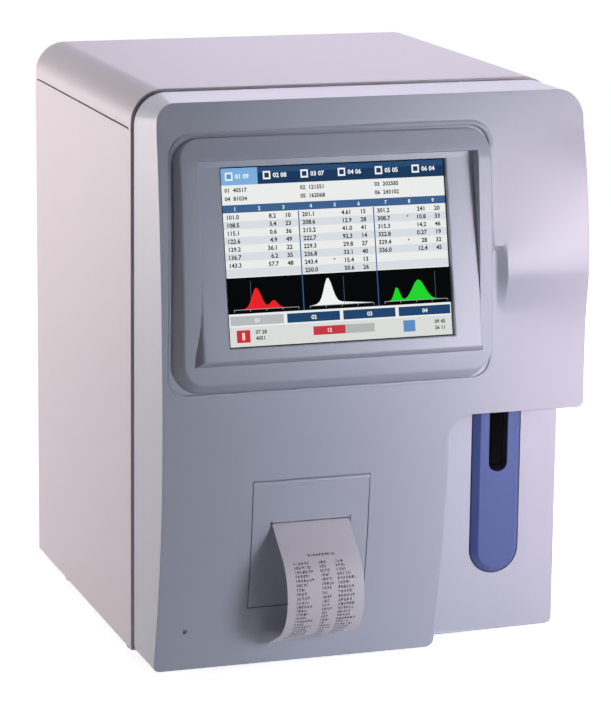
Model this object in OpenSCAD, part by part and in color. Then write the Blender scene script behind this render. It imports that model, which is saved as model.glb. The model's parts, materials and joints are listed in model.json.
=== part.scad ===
// Portable hematology analyzer: a metal casing with a moulded front that carries a tilted screen,
// a strip printer behind a small door, and a sample bay with a press key and a travelling probe.
// Millimetres, +Z up, front towards -Y, origin at the middle of the footprint on the table.

/* [Casing] */
// Overall width of the casing
body_w = 323; // [314:1:350]
// Depth of the casing behind the parting groove
casing_d = 280; // [270:1:320]
// Height of the casing above its lower edge
casing_h = 414; // [410:1:440]
// Radius of the two upper corners
corner_r = 24; // [14:1:26]
// Sheet thickness of the casing panels
sheet_t = 2; // [1.5:0.1:2.5]
// Distance from the top down to the side seam
seam_drop = 28; // [27:1:36]
// Open joint between two casing panels
seam_gap = 0.8; // [0.4:0.1:1.5]
// Width of the parting groove behind the front fascia
groove_w = 3; // [2:0.5:4]
// Height of the feet
foot_h = 6; // [4:1:12]
// Diameter of a foot
foot_d = 20; // [14:1:26]

/* [Front fascia] */
// Step in from the casing side to the fascia side
fascia_inset = 1; // [0.5:0.1:2]
// Reach of the bowed front at its fullest, from the parting plane
bow_reach = 77.5; // [74:0.5:84]
// Height of the fullest point of the bow
bow_z = 172; // [160:1:185]
// Radius of the bow above its fullest point
bow_upper_r = 1500; // [1300:50:2000]
// Radius of the bow below its fullest point
bow_lower_r = 640; // [600:10:800]
// Wall thickness of the moulded front
fascia_t = 3; // [2.5:0.1:3.5]
// Radius of the fascia's lower corners
fascia_foot_r = 5; // [2:1:10]

/* [Sample bay] */
// Width of the bay, measured in from the fascia's right side
bay_w = 105.5; // [100:0.5:112]
// Height of the hood's lower edge
hood_z = 181; // [176:1:190]
// Distance of the bay's back wall from the parting plane
bay_back = 26.5; // [24:0.5:30]
// Radius of the bay's inner top corner
bay_corner_r = 18; // [8:1:24]
// Height of the ridge's fullest line on the hood
ridge_z = 281; // [270:1:290]
// Stand-out of the ridge from the bowed front
ridge_out = 6; // [3:0.5:8]
// Run of the ridge above its fullest line
ridge_up = 33; // [20:1:40]
// Run of the ridge below its fullest line
ridge_down = 45; // [30:1:55]
// Distance of the ridge's end from the screen surround
ridge_off = 5.5; // [4:0.5:10]

/* [Press key] */
// Width of the press key
key_w = 39; // [36:0.5:42]
// Height of the key's round lower end
key_z = 45; // [40:1:55]
// Thickness of the press key
key_t = 7.5; // [6:0.5:9]
// Stand-out of the key from the bay's back wall
key_out = 5; // [4:0.5:6.5]
// Distance of the key's middle from the bay's side line
key_off = 57.5; // [56:0.5:60]
// Width of the probe slot in the key
slot_w = 14.6; // [14:0.2:16]
// Height of the slot's round lower end
slot_z = 124; // [118:1:128]
// Gap round the key
key_gap = 0.8; // [0.6:0.1:1.2]
// Diameter of the key's hinge pins
key_pin_d = 4; // [3:0.5:5]
// Height of the key's hinge above the hood's edge
key_pin_up = 8; // [6:0.5:9]

/* [Screen] */
// Width of the screen surround's front
surround_w = 230.5; // [226:0.5:236]
// Height of the surround's lower front edge
surround_low = 212; // [208:1:216]
// Height of the surround's upper front edge
surround_high = 392; // [388:1:396]
// Stand-out of the surround from the bowed front
surround_out = 10; // [7:0.5:13]
// Corner radius of the surround's front
surround_r = 16; // [10:1:22]
// Run of the surround's side walls
surround_run = 4; // [2:0.5:6]
// Run of the surround's lower wall
surround_low_run = 9; // [5:0.5:11]
// Space between the surround and the fascia's left side
surround_margin = 13.5; // [12:0.5:16]
// Tilt of the screen panel from upright, in degrees
screen_tilt = 10; // [8:0.5:12]
// Width of the tilted screen panel
panel_w = 204.5; // [202:0.5:208]
// Height of the tilted panel along its slope
panel_h = 142; // [140:0.5:146]
// Height of the line where the panel crosses the surround's front
panel_cross_z = 264; // [258:1:270]
// Height of the tilted panel's middle
panel_z = 301.5; // [299:0.5:304]
// Thickness of the screen panel's face
panel_t = 4; // [3:0.5:5]
// Width of the visible screen
lcd_w = 168.5; // [164:0.5:172]
// Height of the visible screen
lcd_h = 125.2; // [122:0.2:128]
// Shift of the visible screen up the panel from its middle
lcd_up = 3.5; // [2:0.5:5]
// Thickness of the touch glass
glass_t = 1.8; // [1.1:0.1:2.5]
// Thickness of the display module
lcd_t = 8; // [6:0.5:10]

/* [Strip printer] */
// Width of the printer door
door_w = 87.3; // [84:0.1:92]
// Height of the door's lower edge
door_low = 46.3; // [42:0.1:50]
// Height of the door's upper edge
door_high = 142.6; // [140:0.1:146]
// Space between the door and the fascia's left side
door_margin = 67.5; // [62:0.5:74]
// Gap round the door
door_gap = 0.6; // [0.4:0.1:1]
// Wall thickness of the door
door_t = 2.5; // [2:0.1:3]
// Diameter of the door's hinge pin
door_pin_d = 2; // [1.6:0.1:2.4]
// Height of the paper slot
slot_mid_z = 110; // [106:0.5:114]
// Height of the paper slot's opening
slot_open = 4; // [3.6:0.1:5]
// Width of the printer paper
paper_w = 57.5; // [56:0.5:58]
// Thickness of the paper strip's solid
paper_t = 0.4; // [0.2:0.1:0.6]
// Length of the strip that runs straight out of the slot
paper_lead = 30; // [24:1:36]
// Fall of the strip as it leaves the slot, in degrees
paper_dip = 38; // [30:1:45]
// Radius of the strip's curl
paper_curl_r = 36; // [30:1:38]
// Turn of the strip's curl, in degrees
paper_turn = 119; // [100:1:122]
// Length of the strip after the curl
paper_tail = 26; // [15:1:28]
// Diameter of the paper roll
roll_d = 42; // [34:1:44]
// Diameter of the roll's spindle
spindle_d = 8; // [6:0.5:10]
// Diameter of the platen roller
platen_d = 11; // [9:0.5:12]
// Diameter of the platen's shaft
platen_shaft_d = 4; // [3:0.5:5]

/* [Sampling probe] */
// Diameter of the probe needle
needle_d = 1.6; // [1.2:0.1:2]
// Height of the needle's tip at rest
tip_z = 136; // [133:1:140]
// Distance of the needle behind the parting plane at rest
needle_y = 25; // [22:1:30]
// Travel of the probe to the front
probe_out = 75; // [70:1:78]
// Travel of the probe downwards
probe_drop = 45; // [35:1:47]
// Diameter of the guide rods
rod_d = 5; // [4:0.5:6]
// Height of the guide rods
rod_z = 298; // [296:1:304]
// Diameter of the lead screws
screw_d = 6; // [5:0.5:7]
// Side of the square stepper motors
motor_s = 28; // [26:1:28]
// Length of the stepper motors
motor_len = 32; // [28:1:36]

/* [Rear] */
// Side of the square fan
fan_s = 60; // [50:1:70]
// Depth of the fan
fan_t = 15; // [12:1:20]
// Height of the fan's middle
fan_z = 330; // [320:1:345]

/* [Fits] */
// Running clearance of a pin or shaft, on the radius
run_c = 0.05; // [0.02:0.01:0.1]
// Free gap beside pieces that move past each other
free_c = 0.5; // [0.3:0.1:0.8]

/* [Hidden] */
$fn = 64;
fine_fn = 1440;
hull_fn = 32;
fascia_w = body_w - 2 * fascia_inset;
fascia_back = -groove_w / 2;
least_r = 0.5;
casing_front = groove_w / 2;
inner_w = body_w - 2 * sheet_t;
bay_x = fascia_w / 2 - bay_w;
key_x = bay_x + key_off;
key_face = -bay_back - key_out;
key_pin_z = hood_z + key_pin_up;
key_pin_y = key_face + key_t / 2;
key_end_r = key_w / 2;
lip_z = key_pin_z + key_pin_d + 2;
screen_x = -fascia_w / 2 + surround_margin + surround_w / 2;
door_x = -fascia_w / 2 + door_margin + door_w / 2;
ridge_x = screen_x + surround_w / 2 + ridge_off;
// Place of the bowed front at a height, moved out by a distance
function bow_r(z) = z > bow_z ? bow_upper_r : bow_lower_r;
function bow_y(z, out = 0) = bow_r(z) - bow_reach - sqrt(pow(bow_r(z) + out, 2) - pow(z - bow_z, 2));
panel_y = bow_y(panel_cross_z, surround_out) + (panel_z - panel_cross_z) * tan(screen_tilt);
panel_gap = 0.4;
panel_wall = 2.5;
panel_deep = 26;
// Paper strip
slot_y = bow_y(slot_mid_z);
strip_start = [slot_y + 1, slot_mid_z];
strip_bend = strip_start + paper_lead * [-cos(paper_dip), -sin(paper_dip)];
curl_mid = strip_bend + paper_curl_r * [sin(paper_dip), -cos(paper_dip)];
curl_from = 90 + paper_dip;
paper_reach = paper_curl_r + paper_t / 2 - curl_mid[0];
// Rear fittings
port_reach = 14;
rear_reach = casing_d + port_reach;
// Shift from the parting plane to the middle of the footprint
parting_y = (paper_reach - rear_reach) / 2;
frame_t = 2;
collar_t = 2;
collar_y0 = -8;
collar_y1 = 10;
collar_gap = 0.3;
collar_in = max(sheet_t, fascia_inset + fascia_t) + collar_gap;
hinge_r = 2.5;
hinge_y = bow_y(door_high) + hinge_r;
hinge_z = door_high - hinge_r;
boss_w = 6;
printer_half = paper_w / 2 + 5;
printer_t = 2;
roll_y = -36;
roll_z = door_low + 32;
platen_y = slot_y + 14;
platen_z = slot_mid_z + 3;
gear_w = 4;
gear_mod = 0.8;
platen_teeth = 24;
pinion_teeth = 12;
gear_dist = gear_mod * (platen_teeth + pinion_teeth) / 2;
col_y = 18;
col_t = 4;
col_half = 12.5;
z_rod_x = -9;
z_screw_x = 0;
z_axis_y = 9;
foot_br_z = lip_z + 5;
br_t = 6;
holder_spare = 11;
holder_z = foot_br_z + br_t + probe_drop + holder_spare;
needle_len = holder_z + 24 - tip_z;
holder_h = 16;
head_br_z = holder_z + holder_h + 32;
win_half = col_half + 4;
rod_left = -24.5;
rod_right = 21.5;
y_screw_x = 31;
car_y = probe_out;
car_len = 30;
car_h = 16;
rod_spare = 35;
rod_back = needle_y + car_y + car_len + rod_spare;
back_t = 4;
bath_d = 32;
bath_h = 45;
bath_z = 36;
bath_pitch = 46;
post_d = 10;
syr_x = -20;
syr_y = 60;
syr_low = 60;
syr_barrel_d = 16;
syr_pitch = 34;
pcb_t = 1.6;
fan_x = -60;
port_d = 9;
port_pitch = 22;
inlet_w = 27;
inlet_h = 20;
inlet_edge = 69.5;
inlet_x = inner_w / 2 - inlet_edge;
inlet_z = 50;
switch_w = 13;
switch_h = 19;
switch_x = inlet_x - 34;
rocker_r = 8;

// Moves the front's own frame, at the parting plane and the panels' lower edge, to the part's frame
module placed() translate([0, parting_y, foot_h]) children();
// Box between two corners
module box(low, high) translate(low) cube(high - low);
// Outline in depth and height, run along the width
module across(x0, x1) translate([x0, 0, 0]) rotate([90, 0, 90]) linear_extrude(x1 - x0) children();
// Outline in width and height, run along the depth
module along(y0, y1) translate([0, y1, 0]) rotate([90, 0, 0]) linear_extrude(y1 - y0) children();
// Round bar along each axis
module bar_x(d, x0, x1, y, z) translate([x0, y, z]) rotate([0, 90, 0]) cylinder(d = d, h = x1 - x0);
module bar_y(d, x, y0, y1, z) translate([x, y1, z]) rotate([90, 0, 0]) cylinder(d = d, h = y1 - y0);
module bar_z(d, x, y, z0, z1) translate([x, y, z0]) cylinder(d = d, h = z1 - z0);
// Rectangle with one radius below and one above
module round_rect(x0, z0, x1, z1, rb, rt) {
    translate([x0, z0 + rb]) square([x1 - x0, z1 - z0 - rb - rt]);
    translate([x0 + rb, z0]) square([x1 - x0 - 2 * rb, z1 - z0 - rt]);
    translate([x0 + rt, z0 + rb]) square([x1 - x0 - 2 * rt, z1 - z0 - rb]);
    for (x = [x0 + rb, x1 - rb]) translate([x, z0 + rb]) circle(rb);
    for (x = [x0 + rt, x1 - rt]) translate([x, z1 - rt]) circle(rt);
}
// Round bar with a through bore
module tube(d, bore, h) difference() {
    cylinder(d = d, h = h);
    translate([0, 0, -1]) cylinder(d = bore, h = h + 2);
}

// Casing outline with two round upper corners, drawn in by an inset
module arch_2d(inset, low) {
    half = body_w / 2 - inset;
    r = corner_r - inset;
    intersection() {
        round_rect(-half, -casing_h, half, casing_h - inset, r, r);
        translate([-body_w, low]) square([2 * body_w, casing_h]);
    }
}
// Bowed front seen from the side, moved out by a distance
module bow_2d(out = 0) {
    for (part = [[bow_upper_r, 0], [bow_lower_r, -1]]) {
        intersection() {
            translate([part[0] - bow_reach, bow_z]) circle(part[0] + out, $fn = fine_fn);
            translate([-2 * bow_reach, bow_z + part[1] * casing_h]) square([3 * bow_reach, casing_h]);
        }
    }
}
module front_2d(inset = 0) {
    half = fascia_w / 2 - inset;
    round_rect(-half, inset, half, casing_h - inset, max(fascia_foot_r - inset, least_r), corner_r - inset);
}
module front_block(inset, back) intersection() {
    along(-2 * bow_reach, back) front_2d(inset);
    across(-body_w, body_w) bow_2d(-inset);
}
// Opening of the sample bay, seen from the front
module bay_2d() difference() {
    translate([bay_x, -casing_h]) square([body_w, casing_h + hood_z]);
    translate([bay_x - 1, hood_z - bay_corner_r]) difference() {
        square([bay_corner_r + 1, bay_corner_r + 1]);
        translate([bay_corner_r + 1, 0]) circle(bay_corner_r);
    }
}
// Key outline, grown by a gap, up to a height
module key_2d(gap, top) {
    translate([key_x, key_z + key_end_r]) circle(key_end_r + gap);
    translate([key_x - key_end_r - gap, key_z + key_end_r])
        square([key_w + 2 * gap, top - key_z - key_end_r]);
}
// Ridge across the hood, with a sloped end
module ridge() intersection() {
    across(ridge_x, fascia_w / 2) polygon([
        [bow_y(ridge_z + ridge_up) + 1, ridge_z + ridge_up],
        [bow_y(ridge_z) - ridge_out, ridge_z],
        [bow_y(ridge_z - ridge_down) + 1, ridge_z - ridge_down],
        [bow_y(ridge_z + ridge_up) + fascia_t - 1, ridge_z]]);
    translate([0, 0, ridge_z - 2 * ridge_down]) linear_extrude(4 * ridge_down) polygon([
        [ridge_x, 0],
        [ridge_x, bow_y(ridge_z)],
        [ridge_x + 2 * ridge_out, bow_y(ridge_z) - 2 * ridge_out],
        [fascia_w / 2, bow_y(ridge_z) - 2 * ridge_out],
        [fascia_w / 2, 0]]);
}
// Frame of the tilted panel: face at y 0, into the body along +y
module on_panel() translate([screen_x, panel_y, panel_z]) rotate([-screen_tilt, 0, 0]) children();
module door_rect(gap, y0, y1) box(
    [door_x - door_w / 2 - gap, y0, door_low - gap], [door_x + door_w / 2 + gap, y1, door_high + gap]);
key_boss = 5;
led_d = 3;
led_x = 21.5 - fascia_w / 2;
led_z = 31.3;

module front_fascia() color("lightsteelblue") placed() difference() {
    union() {
        difference() {
            front_block(0, fascia_back);
            front_block(fascia_t, fascia_back + 1);
            along(-2 * bow_reach, -bay_back) bay_2d();
        }
        intersection() {
            front_block(0, fascia_back);
            union() {
                box([bay_x - fascia_t, -2 * bow_reach, 0],
                    [bay_x, fascia_t - bay_back, hood_z - bay_corner_r]);
                box([bay_x - fascia_t, -bay_back, 0], [body_w, fascia_t - bay_back, lip_z]);
            }
        }
        ridge();
        for (side = [-1, 1]) {
            edge = side * (door_w / 2 + door_gap + boss_w / 2);
            box([door_x + edge - boss_w / 2, hinge_y - 1.5, hinge_z - 5],
                [door_x + edge + boss_w / 2, hinge_y + 4, hinge_z + 5]);
            lug = side * (key_end_r + key_gap + key_boss / 2);
            box([key_x + lug - key_boss / 2, key_pin_y - key_pin_d, key_pin_z - key_pin_d],
                [key_x + lug + key_boss / 2, fascia_t - bay_back, key_pin_z + key_pin_d]);
        }
    }
    on_panel() box([-panel_w / 2 - panel_gap, -2 * panel_deep, -panel_h / 2 - panel_gap],
        [panel_w / 2 + panel_gap, 2 * panel_deep, panel_h / 2 + panel_gap]);
    door_rect(door_gap, -2 * bow_reach, bow_y(door_low) + fascia_t + 2);
    along(-bay_back - 1, fascia_t - bay_back + 1) key_2d(key_gap, lip_z + 1);
    bar_x(door_pin_d + 2 * run_c, door_x - door_w, door_x + door_w, hinge_y, hinge_z);
    bar_x(key_pin_d + 2 * run_c, key_x - key_w, key_x + key_w, key_pin_y, key_pin_z);
    bar_y(led_d + 2 * run_c, led_x, -2 * bow_reach, 0, led_z);
}

// Surround
function grow(run, y, face) = run * (y - face) / surround_out;
module surround_slab(y) {
    side = grow(surround_run, y, bow_y((surround_low + surround_high) / 2, surround_out));
    low = grow(surround_low_run, y, bow_y(surround_low, surround_out));
    high = grow(surround_run, y, bow_y(surround_high, surround_out));
    along(y - 0.1, y) round_rect(screen_x - surround_w / 2 - side, surround_low - low,
        screen_x + surround_w / 2 + side, surround_high + high, surround_r, surround_r, $fn = hull_fn);
}
module screen_surround() color("lightsteelblue") placed() difference() {
    intersection() {
        hull() {
            surround_slab(bow_y(surround_high) + fascia_t);
            surround_slab(-bow_reach - 2 * surround_out);
        }
        across(-body_w, body_w) difference() {
            bow_2d(surround_out);
            bow_2d();
        }
    }
    on_panel() box([-panel_w / 2 - panel_gap, -2 * panel_deep, -panel_h / 2 - panel_gap],
        [panel_w / 2 + panel_gap, 2 * panel_deep, panel_h / 2 + panel_gap]);
}
module screen_panel() color("lightsteelblue") placed() on_panel() difference() {
    box([-panel_w / 2, 0, -panel_h / 2], [panel_w / 2, panel_deep, panel_h / 2]);
    box([panel_wall - panel_w / 2, panel_t, panel_wall - panel_h / 2],
        [panel_w / 2 - panel_wall, panel_deep + 1, panel_h / 2 - panel_wall]);
    box([-lcd_w / 2, -1, lcd_up - lcd_h / 2], [lcd_w / 2, panel_t + 1, lcd_up + lcd_h / 2]);
}
glass_rim = 4;
module screen_layer(rim, y0, y1) box([-lcd_w / 2 - rim, y0, lcd_up - lcd_h / 2 - rim / 2],
    [lcd_w / 2 + rim, y1, lcd_up + lcd_h / 2 + rim / 2]);
module touch_glass() color("lightcyan") placed() on_panel()
    screen_layer(glass_rim, panel_t, panel_t + glass_t);
lcd_y = panel_t + glass_t;
module lcd_module() color("midnightblue") placed() on_panel()
    screen_layer(glass_rim, lcd_y, lcd_y + lcd_t);
board_rise = 3;
module display_board() color("seagreen") placed() on_panel() {
    y0 = lcd_y + lcd_t;
    screen_layer(-12, y0 + board_rise, y0 + board_rise + pcb_t);
    for (x = [-1, 1]) for (z = [-1, 1])
        bar_y(6, x * (lcd_w / 2 - 20), y0, y0 + board_rise + 0.1, lcd_up + z * (lcd_h / 2 - 20));
}

// Casing
seam_z = casing_h - seam_drop;
panel_top = seam_z - seam_gap;
rear_in = casing_d - 1 - sheet_t;
rear_out = casing_d - 1;
fit_gap = 0.3;
frame_low = max(fascia_foot_r, fascia_t + least_r) + collar_gap;
module base_plate() color("gray") placed() box(
    [fit_gap - inner_w / 2, casing_front, 0], [inner_w / 2 - fit_gap, rear_in - fit_gap, sheet_t]);
module side_panel(side) {
    x = side > 0 ? inner_w / 2 : -body_w / 2;
    box([x, casing_front, 0], [x + sheet_t, casing_d, panel_top]);
}
module left_side_panel() color("gainsboro") placed() side_panel(-1);
module right_side_panel() color("gainsboro") placed() side_panel(1);
module top_cover() color("gainsboro") placed() along(casing_front, casing_d) difference() {
    arch_2d(0, seam_z);
    arch_2d(sheet_t, seam_z - 1);
}
module rear_panel() color("gainsboro") placed() difference() {
    along(rear_in, rear_out) arch_2d(sheet_t + fit_gap, fit_gap);
    bar_y(fan_s - 4, fan_x, rear_in - 1, rear_out + 1, fan_z);
    box([inlet_x - inlet_w / 2, rear_in - 1, inlet_z - inlet_h / 2],
        [inlet_x + inlet_w / 2, rear_out + 1, inlet_z + inlet_h / 2]);
    box([switch_x - switch_w / 2 - 3, rear_in - 1, inlet_z - switch_h / 2],
        [switch_x + switch_w / 2 + 3, rear_out + 1, inlet_z + switch_h / 2]);
    for (i = [0 : 3]) bar_y(port_d, port_x(i), rear_in - 1, rear_out + 1, port_z);
}
port_z = 60;
port_edge = 39.5;
function port_x(i) = port_edge - inner_w / 2 + i * port_pitch;
rod_fit = rod_d + 2 * run_c;
screw_fit = screw_d + 2 * run_c;
win_top = head_br_z + br_t + motor_len + 8;
module front_frame() color("dimgray") placed() difference() {
    union() {
        along(0, frame_t) arch_2d(collar_in, frame_low);
        along(collar_y0, collar_y1) difference() {
            arch_2d(collar_in, frame_low);
            arch_2d(collar_in + collar_t, frame_low + collar_t);
        }
    }
    box([key_x - win_half, -1, tip_z - 16], [key_x + win_half, frame_t + 1, win_top]);
    for (x = [rod_left, rod_right]) bar_y(rod_fit, key_x + x, -1, frame_t + 1, rod_z);
    bar_y(screw_fit, key_x + y_screw_x, -1, frame_t + 1, rod_z);
}
foot_x = inner_w / 2 - foot_d / 2 - 1;
foot_back = 75;
foot_front = 25;
module feet() color("dimgray") placed()
    for (x = [-foot_x, foot_x]) for (y = [foot_front, casing_d - foot_back]) bar_z(foot_d, x, y, -foot_h, 0);

// Strip printer
module printer_door() color("lightsteelblue") placed() difference() {
    union() {
        intersection() {
            box([door_x - door_w / 2, -2 * bow_reach, door_low], [door_x + door_w / 2, 0, hinge_z]);
            across(-body_w, body_w) difference() {
                bow_2d();
                bow_2d(-door_t);
            }
        }
        bar_x(2 * hinge_r, door_x - door_w / 2, door_x + door_w / 2, hinge_y, hinge_z);
    }
    bar_x(door_pin_d + 2 * run_c, door_x - door_w, door_x + door_w, hinge_y, hinge_z);
    box([door_x - paper_w / 2 - 1, slot_y - 5, slot_mid_z - slot_open / 2],
        [door_x + paper_w / 2 + 1, slot_y + 5, slot_mid_z + slot_open / 2]);
}
pin_reach = door_w / 2 + door_gap + boss_w - 1;
module door_hinge_pin() color("silver") placed()
    bar_x(door_pin_d, door_x - pin_reach, door_x + pin_reach, hinge_y, hinge_z);
// Edge of the strip at a distance outside its middle line: a straight lead, a curl and a straight tail
curl_steps = 24;
curl_to = curl_from + paper_turn;
function spoke(a, r) = r * [cos(a), sin(a)];
function strip_edge(off) = concat(
    [strip_start + spoke(curl_from, off)],
    [for (i = [0 : curl_steps])
        curl_mid + spoke(curl_from + i * paper_turn / curl_steps, paper_curl_r + off)],
    [curl_mid + spoke(curl_to, paper_curl_r + off) + spoke(curl_to + 90, paper_tail)]);
function backwards(list) = [for (i = [len(list) - 1 : -1 : 0]) list[i]];
module strip_2d() polygon(concat(strip_edge(paper_t / 2), backwards(strip_edge(-paper_t / 2))));
module paper_strip() color("white") placed() across(door_x - paper_w / 2, door_x + paper_w / 2) strip_2d();
frame_low_z = roll_z - roll_d / 2 - 5;
frame_top_z = platen_z + 24;
frame_front = -57;
module printer_side() polygon([[0, frame_low_z], [frame_front, frame_low_z], [frame_front, platen_z - 16],
    [platen_y - 6, platen_z - 10], [platen_y - 6, frame_top_z], [0, frame_top_z]]);
motor_r = 7;
pinion_z = platen_z + gear_dist;
module printer_frame() color("silver") placed() difference() {
    union() {
        for (x = [-printer_half - printer_t, printer_half])
            across(door_x + x, door_x + x + printer_t) printer_side();
        box([door_x - printer_half, -printer_t, frame_low_z], [door_x + printer_half, 0, frame_top_z]);
        box([door_x - printer_half, frame_front, frame_low_z],
            [door_x + printer_half, 0, frame_low_z + printer_t]);
    }
    bar_x(spindle_d, door_x - body_w, door_x + body_w, roll_y, roll_z);
    bar_x(platen_shaft_d + 2 * run_c, door_x - body_w, door_x + body_w, platen_y, platen_z);
    bar_x(4, door_x, door_x + body_w, platen_y, pinion_z);
}
module roll_spindle() color("white") placed() bar_x(spindle_d,
    door_x - printer_half - printer_t, door_x + printer_half + printer_t, roll_y, roll_z);
module paper_roll() color("white") placed() translate([door_x - paper_w / 2, roll_y, roll_z])
    rotate([0, 90, 0]) tube(roll_d, spindle_d + 2 * run_c, paper_w);
module print_head() color("dimgray") placed() box(
    [door_x - printer_half, platen_y + platen_d / 2 + free_c, platen_z - 7],
    [door_x + printer_half, platen_y + platen_d / 2 + 6, platen_z + 5]);
gear_x = door_x + printer_half + printer_t + 0.6;
module platen_roller() color("black") placed() {
    bar_x(platen_d, door_x - paper_w / 2 - 1, door_x + paper_w / 2 + 1, platen_y, platen_z);
    bar_x(platen_shaft_d, door_x - printer_half - printer_t, gear_x + gear_w, platen_y, platen_z);
}
// Spur gear with straight flanks, its first tooth at an angle, with backlash
tooth_up = 0.7;
tooth_down = 0.95;
tooth_w = 1;
module gear_2d(teeth, turn, bore) difference() {
    pitch_r = gear_mod * teeth / 2;
    union() {
        circle(pitch_r - tooth_down);
        for (i = [0 : teeth - 1]) rotate(turn + i * 360 / teeth) polygon([
            [pitch_r - tooth_down - 0.3, -tooth_w * 0.8], [pitch_r + tooth_up, -tooth_w * 0.28],
            [pitch_r + tooth_up, tooth_w * 0.28], [pitch_r - tooth_down - 0.3, tooth_w * 0.8]]);
    }
    circle(d = bore);
}
module platen_gear() color("white") placed() translate([0, platen_y, platen_z])
    across(gear_x, gear_x + gear_w) gear_2d(platen_teeth, 90, platen_shaft_d);
pin_shaft_d = 2;
module motor_pinion() color("gold") placed() translate([0, platen_y, pinion_z])
    across(gear_x, gear_x + gear_w) gear_2d(pinion_teeth, 90 + 180 / pinion_teeth, pin_shaft_d + 2 * run_c);
module printer_motor() color("silver") placed() {
    bar_x(2 * motor_r, door_x + printer_half - 24, door_x + printer_half, platen_y, pinion_z);
    bar_x(pin_shaft_d, door_x + printer_half - 1, gear_x + gear_w + 1, platen_y, pinion_z);
}

// Press key
module aspirate_key() color("royalblue") placed() difference() {
    along(key_face, key_face + key_t) difference() {
        key_2d(0, key_pin_z + key_pin_d);
        translate([key_x, slot_z + slot_w / 2]) circle(slot_w / 2);
        translate([key_x - slot_w / 2, slot_z + slot_w / 2]) square([slot_w, hood_z]);
    }
    bar_x(key_pin_d + 2 * run_c, key_x - key_w, key_x + key_w, key_pin_y, key_pin_z);
}
module key_hinge_pins() color("silver") placed() for (side = [-1, 1]) {
    near = slot_w / 2 + 1;
    far = key_end_r + key_gap + key_boss;
    bar_x(key_pin_d, key_x + (side > 0 ? near : -far), key_x + (side > 0 ? far : -near),
        key_pin_y, key_pin_z);
}
wall_in = fascia_t - bay_back;
key_back = key_face + key_t;
spring_z = key_z + 22;
spring_d = 8;
wire_d = 0.9;
bracket_y = key_back + 12;
bracket_half = key_end_r + 6;
bracket_low = spring_z - 12;
bracket_high = spring_z + 32;
module key_bracket() color("silver") placed() {
    box([key_x - bracket_half, bracket_y, bracket_low],
        [key_x + bracket_half, bracket_y + frame_t, bracket_high]);
    for (x = [key_x - bracket_half, key_x + bracket_half - frame_t])
        box([x, wall_in, bracket_low], [x + frame_t, bracket_y, bracket_high]);
}
// Round wire wound along the depth, as one closed tube of rings
spring_turns = 6;
spring_steps = 12;
wire_sides = 6;
spring_len = bracket_y - key_back - wire_d;
spring_rise = spring_len / spring_turns / 360;
function coil_ring(i) = let (a = 360 * i / spring_steps)
    [for (k = [0 : wire_sides - 1])
        let (b = 360 * k / wire_sides, s = spring_d / 2 + wire_d / 2 * cos(b))
        [s * cos(a), a * spring_rise + wire_d / 2 * sin(b), s * sin(a)]];
module key_spring() color("silver") placed() translate([key_x, key_back + wire_d / 2, spring_z]) {
    rings = spring_turns * spring_steps;
    polyhedron(points = [for (i = [0 : rings]) each coil_ring(i)],
        faces = concat([[for (k = [0 : wire_sides - 1]) k]],
            [[for (k = [wire_sides - 1 : -1 : 0]) rings * wire_sides + k]],
            [for (i = [0 : rings - 1]) for (k = [0 : wire_sides - 1]) for (t = [0, 1])
                let (a = i * wire_sides + k, b = i * wire_sides + (k + 1) % wire_sides)
                t == 0 ? [a, a + wire_sides, b + wire_sides] : [a, b + wire_sides, b]]));
}
switch_z = spring_z + 19;
switch_deep = 7;
module key_switch() color("black") placed() {
    box([key_x - 10, bracket_y - switch_deep, switch_z - 5], [key_x + 10, bracket_y, switch_z + 5]);
    bar_y(3, key_x, bracket_y - switch_deep - 1.5, bracket_y - switch_deep + 0.1, switch_z);
}
module power_led() color("limegreen") placed()
    bar_y(led_d, led_x, bow_y(led_z) - 0.3, bow_y(led_z) + fascia_t + 5, led_z);

// Sampling probe
probe_half = 18;
plate_t = 3;
plate_x = key_x + rod_left - 7.5;
ear_w = 11.6;
module probe_plate(x0, y0, x1, y1) box([x0, y0, rod_z - probe_half], [x1, y1, rod_z + probe_half]);
module probe_frame() color("silver") placed() difference() {
    union() {
        probe_plate(plate_x - plate_t, frame_t, plate_x, rod_back + back_t);
        probe_plate(plate_x - 0.1, rod_back, key_x + y_screw_x + motor_s / 2, rod_back + back_t);
        probe_plate(plate_x - plate_t - ear_w, frame_t, plate_x - plate_t + 0.1, frame_t + plate_t);
    }
    for (x = [rod_left, rod_right]) bar_y(rod_fit, key_x + x, rod_back - 1, rod_back + back_t + 1, rod_z);
    bar_y(screw_fit, key_x + y_screw_x, rod_back - 1, rod_back + back_t + 1, rod_z);
}
module guide_rods() color("silver") placed() for (x = [rod_left, rod_right])
    bar_y(rod_d, key_x + x, 0, rod_back + back_t, rod_z);
module y_screw() color("silver") placed()
    bar_y(screw_d, key_x + y_screw_x, 0, rod_back + back_t - 0.2, rod_z);
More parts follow.
